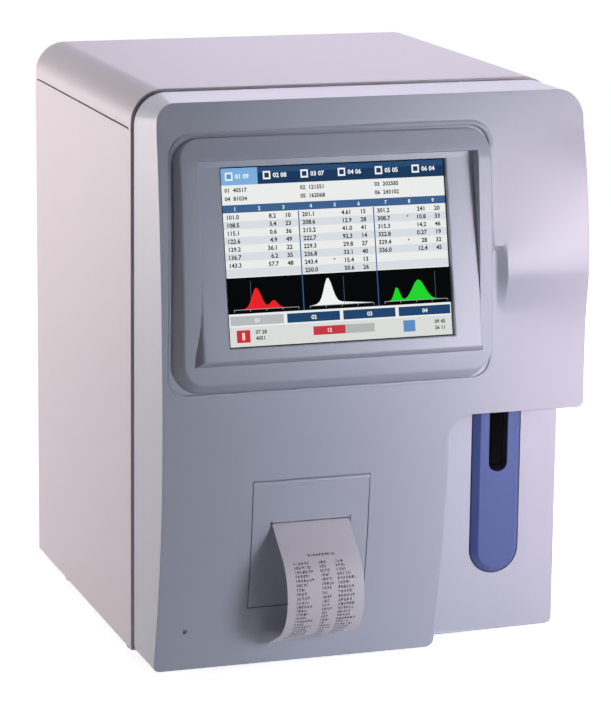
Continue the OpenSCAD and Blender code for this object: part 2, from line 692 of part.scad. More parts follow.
// Square stepper motor with an upright axis
module stepper() translate([-motor_s / 2, -motor_s / 2, 0]) cube([motor_s, motor_s, motor_len]);
module y_motor() color("dimgray") placed()
    translate([key_x + y_screw_x, rod_back + back_t, rod_z]) rotate([-90, 0, 0]) stepper();
module probe_carriage() color("silver") placed() translate([key_x, needle_y, 0]) difference() {
    union() {
        box([rod_left - 7, car_y, rod_z - car_h / 2], [y_screw_x + 6, car_y + car_len, rod_z + car_h / 2]);
        box([-6, col_y + col_t - 0.1, rod_z - 13], [6, car_y + 0.1, rod_z + 10]);
        box([-col_half, col_y, foot_br_z], [col_half, col_y + col_t, head_br_z + br_t]);
        for (z = [foot_br_z, head_br_z]) box([-col_half, -4, z], [col_half, col_y + 0.1, z + br_t]);
        box([-3, 7, wash_low], [3, 11, foot_br_z + 0.1]);
    }
    for (x = [rod_left, rod_right]) bar_y(rod_fit, x, car_y - 1, car_y + car_len + 1, rod_z);
    bar_y(screw_fit, y_screw_x, car_y - 1, car_y + car_len + 1, rod_z);
    for (z = [foot_br_z, head_br_z]) {
        bar_z(rod_fit, z_rod_x, z_axis_y, z - 1, z + br_t + 1);
        bar_z(screw_fit, z_screw_x, z_axis_y, z - 1, z + br_t + 1);
    }
    bar_z(needle_d + 2, 0, 0, foot_br_z - 1, foot_br_z + br_t + 1);
}
wash_low = tip_z + 4;
wash_h = 16;
module wash_block() color("whitesmoke") placed() translate([key_x, needle_y, 0]) difference() {
    box([-6, -7, wash_low], [6, 7, wash_low + wash_h]);
    bar_z(needle_d + 2 * run_c, 0, 0, wash_low - 1, wash_low + wash_h + 1);
}
module z_rod() color("silver") placed() translate([key_x, needle_y, 0])
    bar_z(rod_d, z_rod_x, z_axis_y, foot_br_z, head_br_z + br_t);
module z_screw() color("silver") placed() translate([key_x, needle_y, 0])
    bar_z(screw_d, z_screw_x, z_axis_y, foot_br_z, head_br_z + br_t - 0.2);
module z_motor() color("dimgray") placed()
    translate([key_x + z_screw_x, needle_y + z_axis_y, head_br_z + br_t]) stepper();
module probe_holder() color("black") placed() translate([key_x, needle_y, 0]) difference() {
    box([-col_half, -5, holder_z], [col_half, col_y - free_c, holder_z + holder_h]);
    bar_z(rod_fit, z_rod_x, z_axis_y, holder_z - 1, holder_z + holder_h + 1);
    bar_z(screw_fit, z_screw_x, z_axis_y, holder_z - 1, holder_z + holder_h + 1);
    bar_z(needle_d, 0, 0, holder_z - 1, holder_z + holder_h + 1);
}
module probe_needle() color("silver") placed() bar_z(needle_d, key_x, needle_y, tip_z, tip_z + needle_len);

// Counting baths
module bath_stand() color("silver") placed() {
    box([key_x - 20, needle_y - 19, bath_z - 6], [key_x + 20, needle_y + bath_pitch + 19, bath_z]);
    for (y = [needle_y - 10, needle_y + bath_pitch + 10]) bar_z(post_d, key_x, y, sheet_t, bath_z - 5.9);
}
module bath(y) translate([key_x, y, bath_z]) difference() {
    cylinder(d = bath_d, h = bath_h);
    translate([0, 0, 4]) cylinder(d = bath_d - 6, h = bath_h);
}
module wbc_bath() color("lightgray") placed() bath(needle_y);
module rbc_bath() color("lightgray") placed() bath(needle_y + bath_pitch);

// Syringe pump
syr_mid = syr_y - 18;
barrel_h = 55;
head_z = syr_low + 100;
head_t = 6;
syr_half = 40;
shelf_t = 4;
shelf_z = head_z + 30;
piston_z = syr_low + 44;
module syringe_bracket() color("silver") placed() difference() {
    union() {
        box([syr_x - syr_half, syr_y, sheet_t], [syr_x + syr_half, syr_y + plate_t, shelf_z + shelf_t]);
        for (z = [syr_low - shelf_t, shelf_z])
            box([syr_x - syr_half, syr_y - 34, z], [syr_x + syr_half, syr_y + 0.1, z + shelf_t]);
    }
    for (z = [syr_low - shelf_t, shelf_z]) bar_z(screw_fit, syr_x, syr_mid, z - 1, z + shelf_t + 1);
}
module syringe_barrels() color("lightcyan") placed() for (side = [-1, 1])
    translate([syr_x + side * syr_pitch / 2, syr_mid, syr_low])
        tube(syr_barrel_d, syr_barrel_d - 4, barrel_h);
module syringe_plungers() color("silver") placed() difference() {
    union() {
        box([syr_x - syr_pitch / 2 - 8, syr_mid - 8, head_z],
            [syr_x + syr_pitch / 2 + 8, syr_mid + 8, head_z + head_t]);
        for (side = [-1, 1]) translate([syr_x + side * syr_pitch / 2, syr_mid, piston_z]) {
            cylinder(d = syr_barrel_d - 4 - 2 * run_c, h = 6);
            cylinder(d = 5, h = head_z - piston_z + 0.1);
        }
    }
    bar_z(screw_fit, syr_x, syr_mid, head_z - 1, head_z + head_t + 1);
}
module syringe_screw() color("silver") placed()
    bar_z(screw_d, syr_x, syr_mid, syr_low - shelf_t, shelf_z + shelf_t - 0.2);
module syringe_motor() color("dimgray") placed() translate([syr_x, syr_mid, shelf_z + shelf_t]) stepper();

// Fluid and electric units on the base
valve_y = 70;
valve_x = 29.5 - inner_w / 2;
module valve_bank() color("whitesmoke") placed() {
    box([valve_x, valve_y, sheet_t], [valve_x + 60, valve_y + 30, sheet_t + 24]);
    for (i = [0 : 3]) bar_z(12, valve_x + 8 + i * 14.5, valve_y + 15, sheet_t + 23, sheet_t + 55);
}
pump_y = 150;
pump_head = [50, 50, 40];
pump_d = 34;
pump_len = 50;
module vacuum_pump() color("black") placed() translate([valve_x, pump_y, sheet_t]) {
    cube(pump_head);
    bar_y(pump_d, pump_head[0] / 2, pump_head[1] - 1, pump_head[1] + pump_len, pump_d / 2 + 5);
}
board_x = 8 - inner_w / 2;
board_low = [50, 120];
board_high = [240, 300];
board_edge = 10;
module main_board() color("seagreen") placed() {
    box([board_x, board_low[0], board_low[1]], [board_x + pcb_t, board_high[0], board_high[1]]);
    for (y = [board_low[0] + board_edge, board_high[0] - board_edge])
        for (z = [board_low[1] + board_edge, board_high[1] - board_edge])
            bar_x(6, -inner_w / 2, board_x + 0.1, y, z);
}
supply = [80, 120, 45];
supply_y = 110;
module power_supply() color("silver") placed() translate([-supply[0] / 2, supply_y, sheet_t]) cube(supply);

// Rear
module fan_frame() color("black") placed() difference() {
    along(rear_in - fan_t, rear_in) translate([fan_x, fan_z])
        round_rect(-fan_s / 2, -fan_s / 2, fan_s / 2, fan_s / 2, 4, 4);
    bar_y(fan_s - 4, fan_x, rear_in - fan_t + 3, rear_in + 1, fan_z);
    for (i = [0 : 2]) translate([fan_x, 0, fan_z]) rotate([0, i * 120, 0])
        bar_y(16, 0, rear_in - fan_t - 1, rear_in - fan_t + 4, 19);
    bar_y(4 + 2 * run_c, fan_x, rear_in - fan_t - 1, rear_in, fan_z);
}
blades = 7;
blade_r = 11;
module fan_rotor() color("black") placed() translate([fan_x, rear_in - fan_t, fan_z]) rotate([-90, 0, 0]) {
    cylinder(d = 4, h = 5);
    translate([0, 0, 3.5]) cylinder(d = 24, h = fan_t - 5);
    for (i = [0 : blades - 1]) rotate(i * 360 / blades)
        translate([blade_r, 0, fan_t / 2 + 0.6]) rotate([40, 0, 0])
            translate([0, -6, -0.7]) cube([fan_s / 2 - 3.2 - blade_r, 12, 1.4]);
}
guard_wire = 1.6;
module on_fan() translate([fan_x, rear_out + guard_wire / 2, fan_z]) rotate([-90, 0, 0]) children();
module fan_guard() color("silver") placed() on_fan() {
    for (d = [16 : 10 : fan_s - 4]) translate([0, 0, -guard_wire / 2])
        tube(d + guard_wire, d - guard_wire, guard_wire);
    for (a = [45, 135]) rotate(a) translate([-fan_s / 2 - 5, 0, 0]) rotate([0, 90, 0])
        cylinder(d = guard_wire, h = fan_s + 10);
}
flange = 3;
inlet_deep = 22;
rocker_y = rear_out - rocker_r + 5;
module power_inlet() color("black") placed() difference() {
    union() {
        box([switch_x - switch_w / 2 - 8, rear_out, inlet_z - inlet_h / 2 - flange],
            [inlet_x + inlet_w / 2 + flange, rear_out + 2, inlet_z + inlet_h / 2 + flange]);
        box([inlet_x - inlet_w / 2 + fit_gap, rear_in - inlet_deep, inlet_z - inlet_h / 2 + fit_gap],
            [inlet_x + inlet_w / 2 - fit_gap, rear_out + 1, inlet_z + inlet_h / 2 - fit_gap]);
        box([switch_x - switch_w / 2 - 3 + fit_gap, rear_in - inlet_deep, inlet_z - switch_h / 2 + fit_gap],
            [switch_x + switch_w / 2 + 3 - fit_gap, rear_out + 1, inlet_z + switch_h / 2 - fit_gap]);
    }
    box([inlet_x - inlet_w / 2 + 2, rear_in - inlet_deep + 3, inlet_z - inlet_h / 2 + 2],
        [inlet_x + inlet_w / 2 - 2, rear_out + 3, inlet_z + inlet_h / 2 - 2]);
    box([switch_x - switch_w / 2 - free_c, rear_in - inlet_deep + 3, inlet_z - rocker_r - free_c],
        [switch_x + switch_w / 2 + free_c, rear_out + 3, inlet_z + rocker_r + free_c]);
    bar_x(3, switch_x - switch_w / 2 - 2, switch_x + switch_w / 2 + 2, rocker_y, inlet_z);
}
module rocker_switch() color("black") placed() {
    intersection() {
        bar_x(2 * rocker_r, switch_x - switch_w / 2, switch_x + switch_w / 2, rocker_y, inlet_z);
        box([switch_x - switch_w, rocker_y - 3, inlet_z - rocker_r],
            [switch_x + switch_w, rear_out + 6, inlet_z + rocker_r]);
    }
    bar_x(3 - 2 * run_c, switch_x - switch_w / 2 - 1.5, switch_x + switch_w / 2 + 1.5, rocker_y, inlet_z);
}
module rear_ports() color("silver") placed() for (i = [0 : 3]) translate([port_x(i), rear_in - 4, port_z])
    rotate([-90, 0, 0]) difference() {
        union() {
            cylinder(d = port_d - 2 * run_c, h = casing_d + port_reach - rear_in + 4 - 8);
            translate([0, 0, rear_out - rear_in + 4]) cylinder(d = port_d + 5, h = 4);
            cylinder(d = 6, h = casing_d + port_reach - rear_in + 4);
        }
        translate([0, 0, -1]) cylinder(d = 3, h = casing_d);
    }
screw_head = 6;
screw_head_t = 2;
screw_edge = 12;
screw_low = 30;
screw_high = panel_top - 15.2;
screw_pitch = inner_w / 3;
module casing_screw(x, z) bar_y(screw_head, x, rear_out, rear_out + screw_head_t, z);
module casing_screws() color("silver") placed() {
    for (side = [-1, 1]) for (z = [screw_low, (screw_low + screw_high) / 2, screw_high])
        casing_screw(side * (inner_w / 2 - screw_edge), z);
    for (i = [-1 : 1]) casing_screw(i * screw_pitch, casing_h - screw_edge - sheet_t);
}

base_plate();
left_side_panel();
right_side_panel();
top_cover();
rear_panel();
front_frame();
front_fascia();
screen_surround();
screen_panel();
touch_glass();
lcd_module();
display_board();
printer_door();
door_hinge_pin();
paper_strip();
paper_roll();
roll_spindle();
printer_frame();
print_head();
platen_roller();
platen_gear();
motor_pinion();
printer_motor();
aspirate_key();
key_hinge_pins();
key_bracket();
key_spring();
key_switch();
power_led();
feet();
probe_frame();
guide_rods();
y_screw();
y_motor();
probe_carriage();
wash_block();
z_rod();
z_screw();
z_motor();
probe_holder();
probe_needle();
bath_stand();
wbc_bath();
rbc_bath();
syringe_bracket();
syringe_barrels();
syringe_plungers();
syringe_screw();
syringe_motor();
valve_bank();
vacuum_pump();
main_board();
power_supply();
fan_frame();
fan_rotor();
fan_guard();
power_inlet();
rocker_switch();
rear_ports();
casing_screws();
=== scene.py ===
import json
import math

import bmesh
import bpy
from mathutils import Matrix, Vector


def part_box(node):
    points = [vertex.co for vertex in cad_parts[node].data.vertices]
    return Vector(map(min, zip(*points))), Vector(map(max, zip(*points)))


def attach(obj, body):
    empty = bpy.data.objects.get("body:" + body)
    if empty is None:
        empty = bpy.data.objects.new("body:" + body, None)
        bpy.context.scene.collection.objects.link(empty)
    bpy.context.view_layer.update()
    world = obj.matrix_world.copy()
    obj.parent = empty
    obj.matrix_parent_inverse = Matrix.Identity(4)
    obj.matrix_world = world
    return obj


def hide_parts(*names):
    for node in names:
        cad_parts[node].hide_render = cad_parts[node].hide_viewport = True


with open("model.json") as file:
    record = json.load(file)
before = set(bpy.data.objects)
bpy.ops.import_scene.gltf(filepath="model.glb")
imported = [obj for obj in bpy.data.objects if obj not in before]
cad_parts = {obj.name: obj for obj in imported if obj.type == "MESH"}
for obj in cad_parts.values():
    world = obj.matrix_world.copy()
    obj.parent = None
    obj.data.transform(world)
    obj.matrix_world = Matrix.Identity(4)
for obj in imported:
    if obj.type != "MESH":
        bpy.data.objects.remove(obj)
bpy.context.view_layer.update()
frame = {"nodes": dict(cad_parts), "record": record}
print("frame loaded")

# places are millimetres in the front's own frame: y from the parting plane, z from the side panel's lower edge
mm = 0.001
near = 0.05  # places this close count as one
slack = 0.1  # room for rounding where edges are chosen by their place
upAxis, sideAxis, depthAxis = (0, 0, 1), (1, 0, 0), (0, 1, 0)
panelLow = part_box("left_side_panel")[0]
casingFront = 1.5
partingY = panelLow.y / mm - casingFront
footH = panelLow.z / mm


def at(x, y, z):
    return Vector((x, y + partingY, z + footH)) * mm


def local(co):
    return Vector((co.x / mm, co.y / mm - partingY, co.z / mm - footH))


# modelling helpers

def clearSelection():
    if bpy.context.mode != "OBJECT":
        bpy.ops.object.mode_set(mode="OBJECT")
    bpy.ops.object.select_all(action="DESELECT")


def pick(piece):
    clearSelection()
    piece.select_set(True)
    bpy.context.view_layer.objects.active = piece


def applyPlace():
    bpy.ops.object.transform_apply(location=True, rotation=True, scale=True)
    return bpy.context.object


def block(name, low, high):
    clearSelection()
    a, b = at(*low), at(*high)
    bpy.ops.mesh.primitive_cube_add(size=1, location=(a + b) / 2)
    bpy.context.object.name = name
    bpy.context.object.scale = b - a
    return applyPlace()


def rod(name, radius, start, end, sides=48):
    clearSelection()
    a, b = at(*start), at(*end)
    run = b - a
    bpy.ops.mesh.primitive_cylinder_add(
        vertices=sides, radius=radius * mm, depth=run.length, location=(a + b) / 2,
        rotation=run.to_track_quat("Z", "Y").to_euler())
    bpy.context.object.name = name
    return applyPlace()


# unit sheet of squares, to be laid on a shape point by point
def sheetGrid(name, across, along):
    clearSelection()
    bpy.ops.mesh.primitive_grid_add(x_subdivisions=across, y_subdivisions=along, size=1)
    bpy.context.object.name = name
    return bpy.context.object


def shiftVerts(piece, move):
    for vert in piece.data.vertices:
        vert.co = at(*move(local(vert.co)))


# upright slot shape: a round bar along y whose upper half is moved up
def stadium(name, x, low, high, radius, y0, y1, sides=64):
    piece = rod(name, radius, (x, y0, low + radius), (x, y1, low + radius), sides)
    rise = high - low - 2 * radius
    shiftVerts(piece, lambda p: (p.x, p.y, p.z + (rise if p.z > low + radius + 0.01 else 0)))
    return piece


def bevelWhere(piece, test, width, segments=3):
    pick(piece)
    bpy.ops.object.mode_set(mode="EDIT")
    bpy.ops.mesh.select_mode(type="EDGE")
    bpy.ops.mesh.select_all(action="DESELECT")
    mesh = bmesh.from_edit_mesh(piece.data)
    mesh.normal_update()
    found = [edge for edge in mesh.edges if test(edge, *(local(v.co) for v in edge.verts))]
    for edge in found:
        edge.select_set(True)
    bmesh.update_edit_mesh(piece.data)
    if found:
        bpy.ops.mesh.bevel(offset=width * mm, segments=segments, profile=0.5, affect="EDGES")
    bpy.ops.object.mode_set(mode="OBJECT")


def sharp(edge, least=50):
    return len(edge.link_faces) == 2 and edge.calc_face_angle(0) > math.radians(least)


# a sharp edge between a face that looks to the front and one that looks aside
def frontRim(edge, aside=0.45):
    if not sharp(edge, 40):
        return False
    facing = sorted(f.normal.y for f in edge.link_faces)
    return facing[0] < -0.8 and abs(facing[1]) < aside


def alongY(a, b):
    return abs(a.y - b.y) > 0.5 and abs(a.x - b.x) < near and abs(a.z - b.z) < near


def slicePlanes(piece, axis, places):
    pick(piece)
    bpy.ops.object.mode_set(mode="EDIT")
    for place in places:
        bpy.ops.mesh.select_all(action="SELECT")
        bpy.ops.mesh.bisect(plane_co=at(*(place * n for n in axis)), plane_no=axis)
    bpy.ops.object.mode_set(mode="OBJECT")


def cutAway(piece, *cutters):
    for cutter in cutters:
        pick(piece)
        tool = piece.modifiers.new("cut", "BOOLEAN")
        tool.object = cutter
        tool.operation = "DIFFERENCE"
        tool.solver = "EXACT"
        bpy.ops.object.modifier_apply(modifier=tool.name)
        bpy.data.objects.remove(cutter)


def joinTo(piece, *others):
    pick(piece)
    for other in others:
        other.select_set(True)
    bpy.ops.object.join()
    return piece


def tidyMesh(piece):
    pick(piece)
    bpy.ops.object.mode_set(mode="EDIT")
    bpy.ops.mesh.select_all(action="SELECT")
    bpy.ops.mesh.remove_doubles(threshold=0.00001)
    bpy.ops.mesh.normals_make_consistent(inside=False)
    bpy.ops.object.mode_set(mode="OBJECT")


# turns a profile of (radius, distance along the axis) about an axis through a place
def lathe(name, place, profile, axis="y", sides=32):
    last = len(profile) - 1
    piece = sheetGrid(name, sides, last)
    x, y, z = place
    for vert in piece.data.vertices:
        turn = 2 * math.pi * round((vert.co.x + 0.5) * sides) / sides
        radius, along = profile[round((vert.co.y + 0.5) * last)]
        u, v = radius * math.cos(turn), radius * math.sin(turn)
        vert.co = at(x + u, y + along, z + v) if axis == "y" else at(x + u, y + v, z + along)
    tidyMesh(piece)
    return piece


def finishPiece(piece, body, slot, material, *nodes, smooth=35):
    pick(piece)
    bpy.ops.object.shade_smooth_by_angle(angle=math.radians(smooth))
    weigh = piece.modifiers.new("facing", "WEIGHTED_NORMAL")
    weigh.keep_sharp = True
    bpy.ops.object.modifier_apply(modifier=weigh.name)
    piece.data.materials.clear()
    piece.data.materials.append(material)
    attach(piece, body)
    if nodes:
        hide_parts(*nodes)
    return piece


# materials

def tone(hexColor):
    parts = [int(hexColor[i:i + 2], 16) / 255 for i in (1, 3, 5)]
    return tuple(c / 12.92 if c <= 0.04045 else ((c + 0.055) / 1.055) ** 2.4 for c in parts) + (1,)


# sockets go by name or number; a node as the source stands for its first output
def addNode(tree, kind, links=None, **settings):
    node = tree.nodes.new(kind)
    for setting, value in settings.items():
        setattr(node, setting, value)
    for name, source in (links or {}).items():
        if isinstance(source, bpy.types.Node):
            source = source.outputs[0]
        if isinstance(source, bpy.types.NodeSocket):
            tree.links.new(source, node.inputs[name])
        else:
            node.inputs[name].default_value = source
    return node


def startFinish(name, **sockets):
    material = bpy.data.materials.new(name)
    material.use_nodes = True
    tree = material.node_tree
    shader = tree.nodes["Principled BSDF"]
    for socket, value in sockets.items():
        shader.inputs[socket.replace("_", " ")].default_value = value
    place = addNode(tree, "ShaderNodeTexCoord").outputs["Object"]
    return material, tree, shader, place


# moulded plastic, rubber or paint: a slow drift of tone, and a fine grain in the surface and in its gloss;
# drift, grain and depth are millimetres, and the grain is coarser than the real one so that it shows
def grainFinish(name, light, dark, roughness, grain, depth, drift=90, ior=1.5, **sockets):
    material, tree, shader, place = startFinish(name, IOR=ior, **sockets)
    cloud = addNode(tree, "ShaderNodeTexNoise", {"Vector": place, "Scale": 1 / (drift * mm), "Detail": 3.0})
    shade = addNode(tree, "ShaderNodeMixRGB", {"Fac": cloud, "Color1": tone(light), "Color2": tone(dark)})
    tree.links.new(shade.outputs["Color"], shader.inputs["Base Color"])
    fine = addNode(tree, "ShaderNodeTexNoise", {"Vector": place, "Scale": 1 / (grain * mm), "Detail": 2.0})
    gloss = addNode(tree, "ShaderNodeMapRange", {
        "Value": fine, "To Min": roughness - 0.05, "To Max": roughness + 0.05})
    tree.links.new(gloss.outputs["Result"], shader.inputs["Roughness"])
    bump = addNode(tree, "ShaderNodeBump", {"Height": fine, "Distance": depth * mm, "Strength": 0.6})
    tree.links.new(bump.outputs["Normal"], shader.inputs["Normal"])
    return material


# machined metal: fine lines stretched along one axis, wider than real tool marks so that they show
def lineFinish(name, light, dark, roughness, stretch, line=0.35):
    material, tree, shader, place = startFinish(name, Metallic=1.0)
    turned = addNode(tree, "ShaderNodeMapping", {"Vector": place, "Scale": stretch})
    lines = addNode(tree, "ShaderNodeTexNoise", {"Vector": turned, "Scale": 1 / (line * mm), "Detail": 2.0})
    ramp = addNode(tree, "ShaderNodeValToRGB", {"Fac": lines})
    for stop, share, color in zip(ramp.color_ramp.elements, (0.3, 0.7), (dark, light)):
        stop.position = share
        stop.color = tone(color)
    tree.links.new(ramp.outputs["Color"], shader.inputs["Base Color"])
    gloss = addNode(tree, "ShaderNodeMapRange", {
        "Value": lines, "To Min": roughness - 0.06, "To Max": roughness + 0.08})
    tree.links.new(gloss.outputs["Result"], shader.inputs["Roughness"])
    return material


# epoxy board under a solder mask: smooth green, its copper tracks show as lighter lines 9 mm apart
def boardFinish(name):
    material, tree, shader, place = startFinish(name, Roughness=0.35)
    tracks = addNode(tree, "ShaderNodeTexBrick", {
        "Vector": place, "Scale": 1 / (9 * mm), "Color1": tone("#14502f"), "Color2": tone("#1a5c37"),
        "Mortar": tone("#2f7d4c"), "Mortar Size": 0.03})
    tree.links.new(tracks.outputs["Color"], shader.inputs["Base Color"])
    return material


# polished glass: clear and mirror-smooth, with smears of 30 mm in its gloss
def clearFinish(name, tint):
    material, tree, shader, place = startFinish(name, Transmission_Weight=1.0, IOR=1.5, Base_Color=tone(tint))
    smear = addNode(tree, "ShaderNodeTexNoise", {"Vector": place, "Scale": 1 / (30 * mm)})
    gloss = addNode(tree, "ShaderNodeMapRange", {"Value": smear, "To Min": 0.0, "To Max": 0.06})
    tree.links.new(gloss.outputs["Result"], shader.inputs["Roughness"])
    return material


# baked powder on steel: warm white, dull, faintly pebbled
powderCoat = grainFinish("steel_powder_coat", "#d9d3d5", "#d6d0d2", roughness=0.5, grain=1.1, depth=0.03)
# moulded ABS with a fine etch: cool grey or blue with wide, soft highlights
satinAbs = grainFinish("abs_satin_moulded", "#b9bdc7", "#b6bac4", roughness=0.38, grain=0.7, depth=0.02)
blueAbs = grainFinish("abs_blue_moulded", "#455790", "#43558d", roughness=0.38, grain=0.6, depth=0.015)
# nylon and acetal: plain black or milky white, half dull
blackPlastic = grainFinish("nylon_black_moulded", "#1d1d20", "#26262a", roughness=0.5, grain=0.6, depth=0.02)
whitePlastic = grainFinish("acetal_white_machined", "#e6e4de", "#dcdad4", roughness=0.4, grain=0.8, depth=0.01)
# painted shade: a dull grey sheet that darkens the seam between the front and the casing
seamShadeGrey = grainFinish("seam_painted_shade_grey", "#777b84", "#6e727b", roughness=0.6, grain=0.9, depth=0.03)
# rubber: dull, with hardly a highlight
footRubber = grainFinish("rubber_grey_moulded", "#a9a9ab", "#9d9da0", roughness=0.7, grain=0.9, depth=0.04)
blackRubber = grainFinish("rubber_black_moulded", "#242426", "#2e2e30", roughness=0.75, grain=0.9, depth=0.04)
# zinc plate: grey metal with cloudy patches of 14 mm
platedSteel = grainFinish("steel_zinc_plated", "#8a8d92", "#7b7f86", roughness=0.38, grain=1.5, depth=0.01,
                          drift=14, Metallic=0.85)
# ground, milled and turned metal: bright, with lines along the cut
groundSteel = lineFinish("steel_ground", "#c9cacc", "#b2b4b7", roughness=0.28, stretch=(1, 12, 12))
milledAluminium = lineFinish("aluminium_milled", "#cfd1d4", "#bdbfc3", roughness=0.36, stretch=(1, 8, 8))
turnedBrass = lineFinish("brass_turned", "#d9b468", "#c29a4e", roughness=0.3, stretch=(6, 1, 6))
# wound paper: matt white, clouded every 3 mm where its layers shift
rollPaper = grainFinish("thermal_paper_wound", "#f0ebec", "#e4dfe0", roughness=0.62, grain=0.5, depth=0.02,
                        drift=3)
boardGreen = boardFinish("epoxy_board_green")
clearGlass = clearFinish("glass_polished", "#f4f8fa")
# cast epoxy lens, unlit: dark green and glossy
ledGreen = grainFinish("epoxy_led_green", "#2c4a33", "#243f2b", roughness=0.2, grain=3, depth=0.005)
slotFinish = {
    "casing_paint": powderCoat, "fascia_plastic": satinAbs, "key_plastic": blueAbs, "screen_glass": clearGlass,
    "screen_lit": blackPlastic, "paper": rollPaper, "steel": groundSteel, "sheet_steel": platedSteel,
    "aluminium": milledAluminium, "black_plastic": blackPlastic, "white_plastic": whitePlastic,
    "rubber": blackRubber, "board": boardGreen, "brass": turnedBrass, "clear_barrel": clearGlass,
    "led": ledGreen,
}
for subpart in frame["record"]["subparts"]:
    cadNode = frame["nodes"][subpart["node"]]
    cadNode.data.materials.clear()
    cadNode.data.materials.append(slotFinish[subpart["material_slot"]])
frame["nodes"]["feet"].data.materials[0] = footRubber
print("materials ready")


# bowed front: two arcs that meet at the fullest height
bow = {"reach": 77.5, "z": 172, "upperR": 1500, "lowerR": 640}


def bowY(z, out=0):
    radius = bow["upperR"] if z > bow["z"] else bow["lowerR"]
    return radius - bow["reach"] - math.sqrt((radius + out) ** 2 - (z - bow["z"]) ** 2)


def clamp(t):
    return min(max(t, 0), 1)


def ease(t):
    t = clamp(t)
    return t * t * (3 - 2 * t)


# front fascia; rows and columns are where the bend has points
fascia = {
    "half": 160.5, "top": 412.4, "back": -3.5, "corner": 23, "frontCorner": (14, 20), "cornerIn": 5, "foot": 5,
    "edge": 1.8, "wall": 3, "skin": 5, "backEdge": 0.8, "rightEdge": 4, "rightDraft": 1.3, "draftRun": 30,
    "footFlare": 0.9, "flareTop": 190, "bend": 32,
    "rows": (*range(9, 208, 11), *range(212, 404, 4)), "columns": (*range(87, 100), *range(104, 158, 6)),
}
# ridge on the hood: (height, how far it stands out) at its left and right ends, with a notch at the left
ridge = {
    "left": 89.5, "full": 96, "notch": 12, "notchTop": 302, "hood": 160,
    "leftOut": ((345, 0), (330, 1.2), (316, 3), (305, 5), (297, 6.6), (290, 7.4), (281, 7.6), (272, 4.8),
                (263, 1.4), (256, 0)),
    "rightOut": ((397, 0), (385, 0.8), (373, 2.4), (363, 3.8), (354, 5), (335, 6.4), (314, 7.1), (308, 7.6),
                 (288, 7.6), (281, 7.3), (270, 5.4), (260, 3.6), (242, 1.2), (223, 0.3), (205, 0)),
}
# open place for the sample tube under the hood
bay = {
    "x": 55, "hood": 181, "back": -26.5, "corner": 18, "edge": 12, "hoodEdge": 3, "lip": 195, "wall": 3,
    "hoodCorner": 4, "foot": 6, "backEdge": 2, "floor": 2.5, "needle": -57,
}


def stepOut(points, z):
    if z >= points[0][0] or z <= points[-1][0]:
        return 0
    for (z0, out0), (z1, out1) in zip(points, points[1:]):
        if z >= z1:
            return out0 + (out1 - out0) * (z0 - z) / (z0 - z1)


def ridgeOut(x, z):
    start = ridge["left"] if z < ridge["notchTop"] else ridge["left"] - ridge["notch"]
    across = clamp((x - start) / (ridge["full"] - ridge["left"]))
    along = clamp((x - ridge["left"]) / (ridge["hood"] - ridge["left"]))
    left = across * stepOut(ridge["leftOut"], z)
    return left + along * (stepOut(ridge["rightOut"], z) - left)


# flat block with round upper corners; the bow comes later
def outlineBlock(name, inset, front, back):
    half = fascia["half"] - inset
    top = fascia["top"] - inset
    piece = block(name, (-half, front, inset), (half, back, top))
    bevelWhere(piece, lambda e, a, b: alongY(a, b) and a.z > top - 1, fascia["corner"] - inset, 12)
    bevelWhere(piece, lambda e, a, b: alongY(a, b) and a.z < inset + 1, max(fascia["foot"] - inset, 1), 4)
    return piece


# round-cornered outline run along the depth
def slab(name, x0, z0, x1, z1, corner, y0, y1, segments=8):
    piece = block(name, (x0, y0, z0), (x1, y1, z1))
    bevelWhere(piece, lambda e, a, b: alongY(a, b), corner, segments)
    return piece


# share of the bay edge's full rounding: wide on the upright edge, small under the hood and round the rest
def rimShare(a, b):
    small = fascia["edge"] / bay["edge"]
    x, z = (a.x + b.x) / 2, (a.z + b.z) / 2
    if x < bay["x"] - slack or z > bay["hood"] + slack:
        if z < bay["foot"] and bay["x"] - bay["foot"] < x < bay["x"]:
            return small + (1 - small) * ease((x - bay["x"] + bay["foot"]) / bay["foot"])
        right = fascia["rightEdge"] / bay["edge"]
        return small + (right - small) * ease((x - fascia["half"] + fascia["corner"]) / (fascia["corner"] - 1))
    under = bay["hoodEdge"] / bay["edge"]
    if z < bay["hood"] - bay["corner"]:
        return 1 if x < bay["x"] + 1 else small
    turn = math.atan2(z - bay["hood"] + bay["corner"], bay["x"] + bay["corner"] - x)
    return 1 + (under - 1) * ease(turn / (math.pi / 2))


def bevelRims(piece):
    mesh = bmesh.new()
    mesh.from_mesh(piece.data)
    mesh.normal_update()
    share = mesh.edges.layers.float.new("bevel_weight_edge")
    for edge in mesh.edges:
        a, b = (local(v.co) for v in edge.verts)
        if frontRim(edge) and max(a.y, b.y) < 1 - bow["reach"]:
            edge[share] = rimShare(a, b)
    mesh.to_mesh(piece.data)
    mesh.free()
    pick(piece)
    rounding = piece.modifiers.new("rims", "BEVEL")
    rounding.limit_method = "WEIGHT"
    rounding.width = bay["edge"] * mm
    rounding.segments = 6
    bpy.ops.object.modifier_apply(modifier=rounding.name)


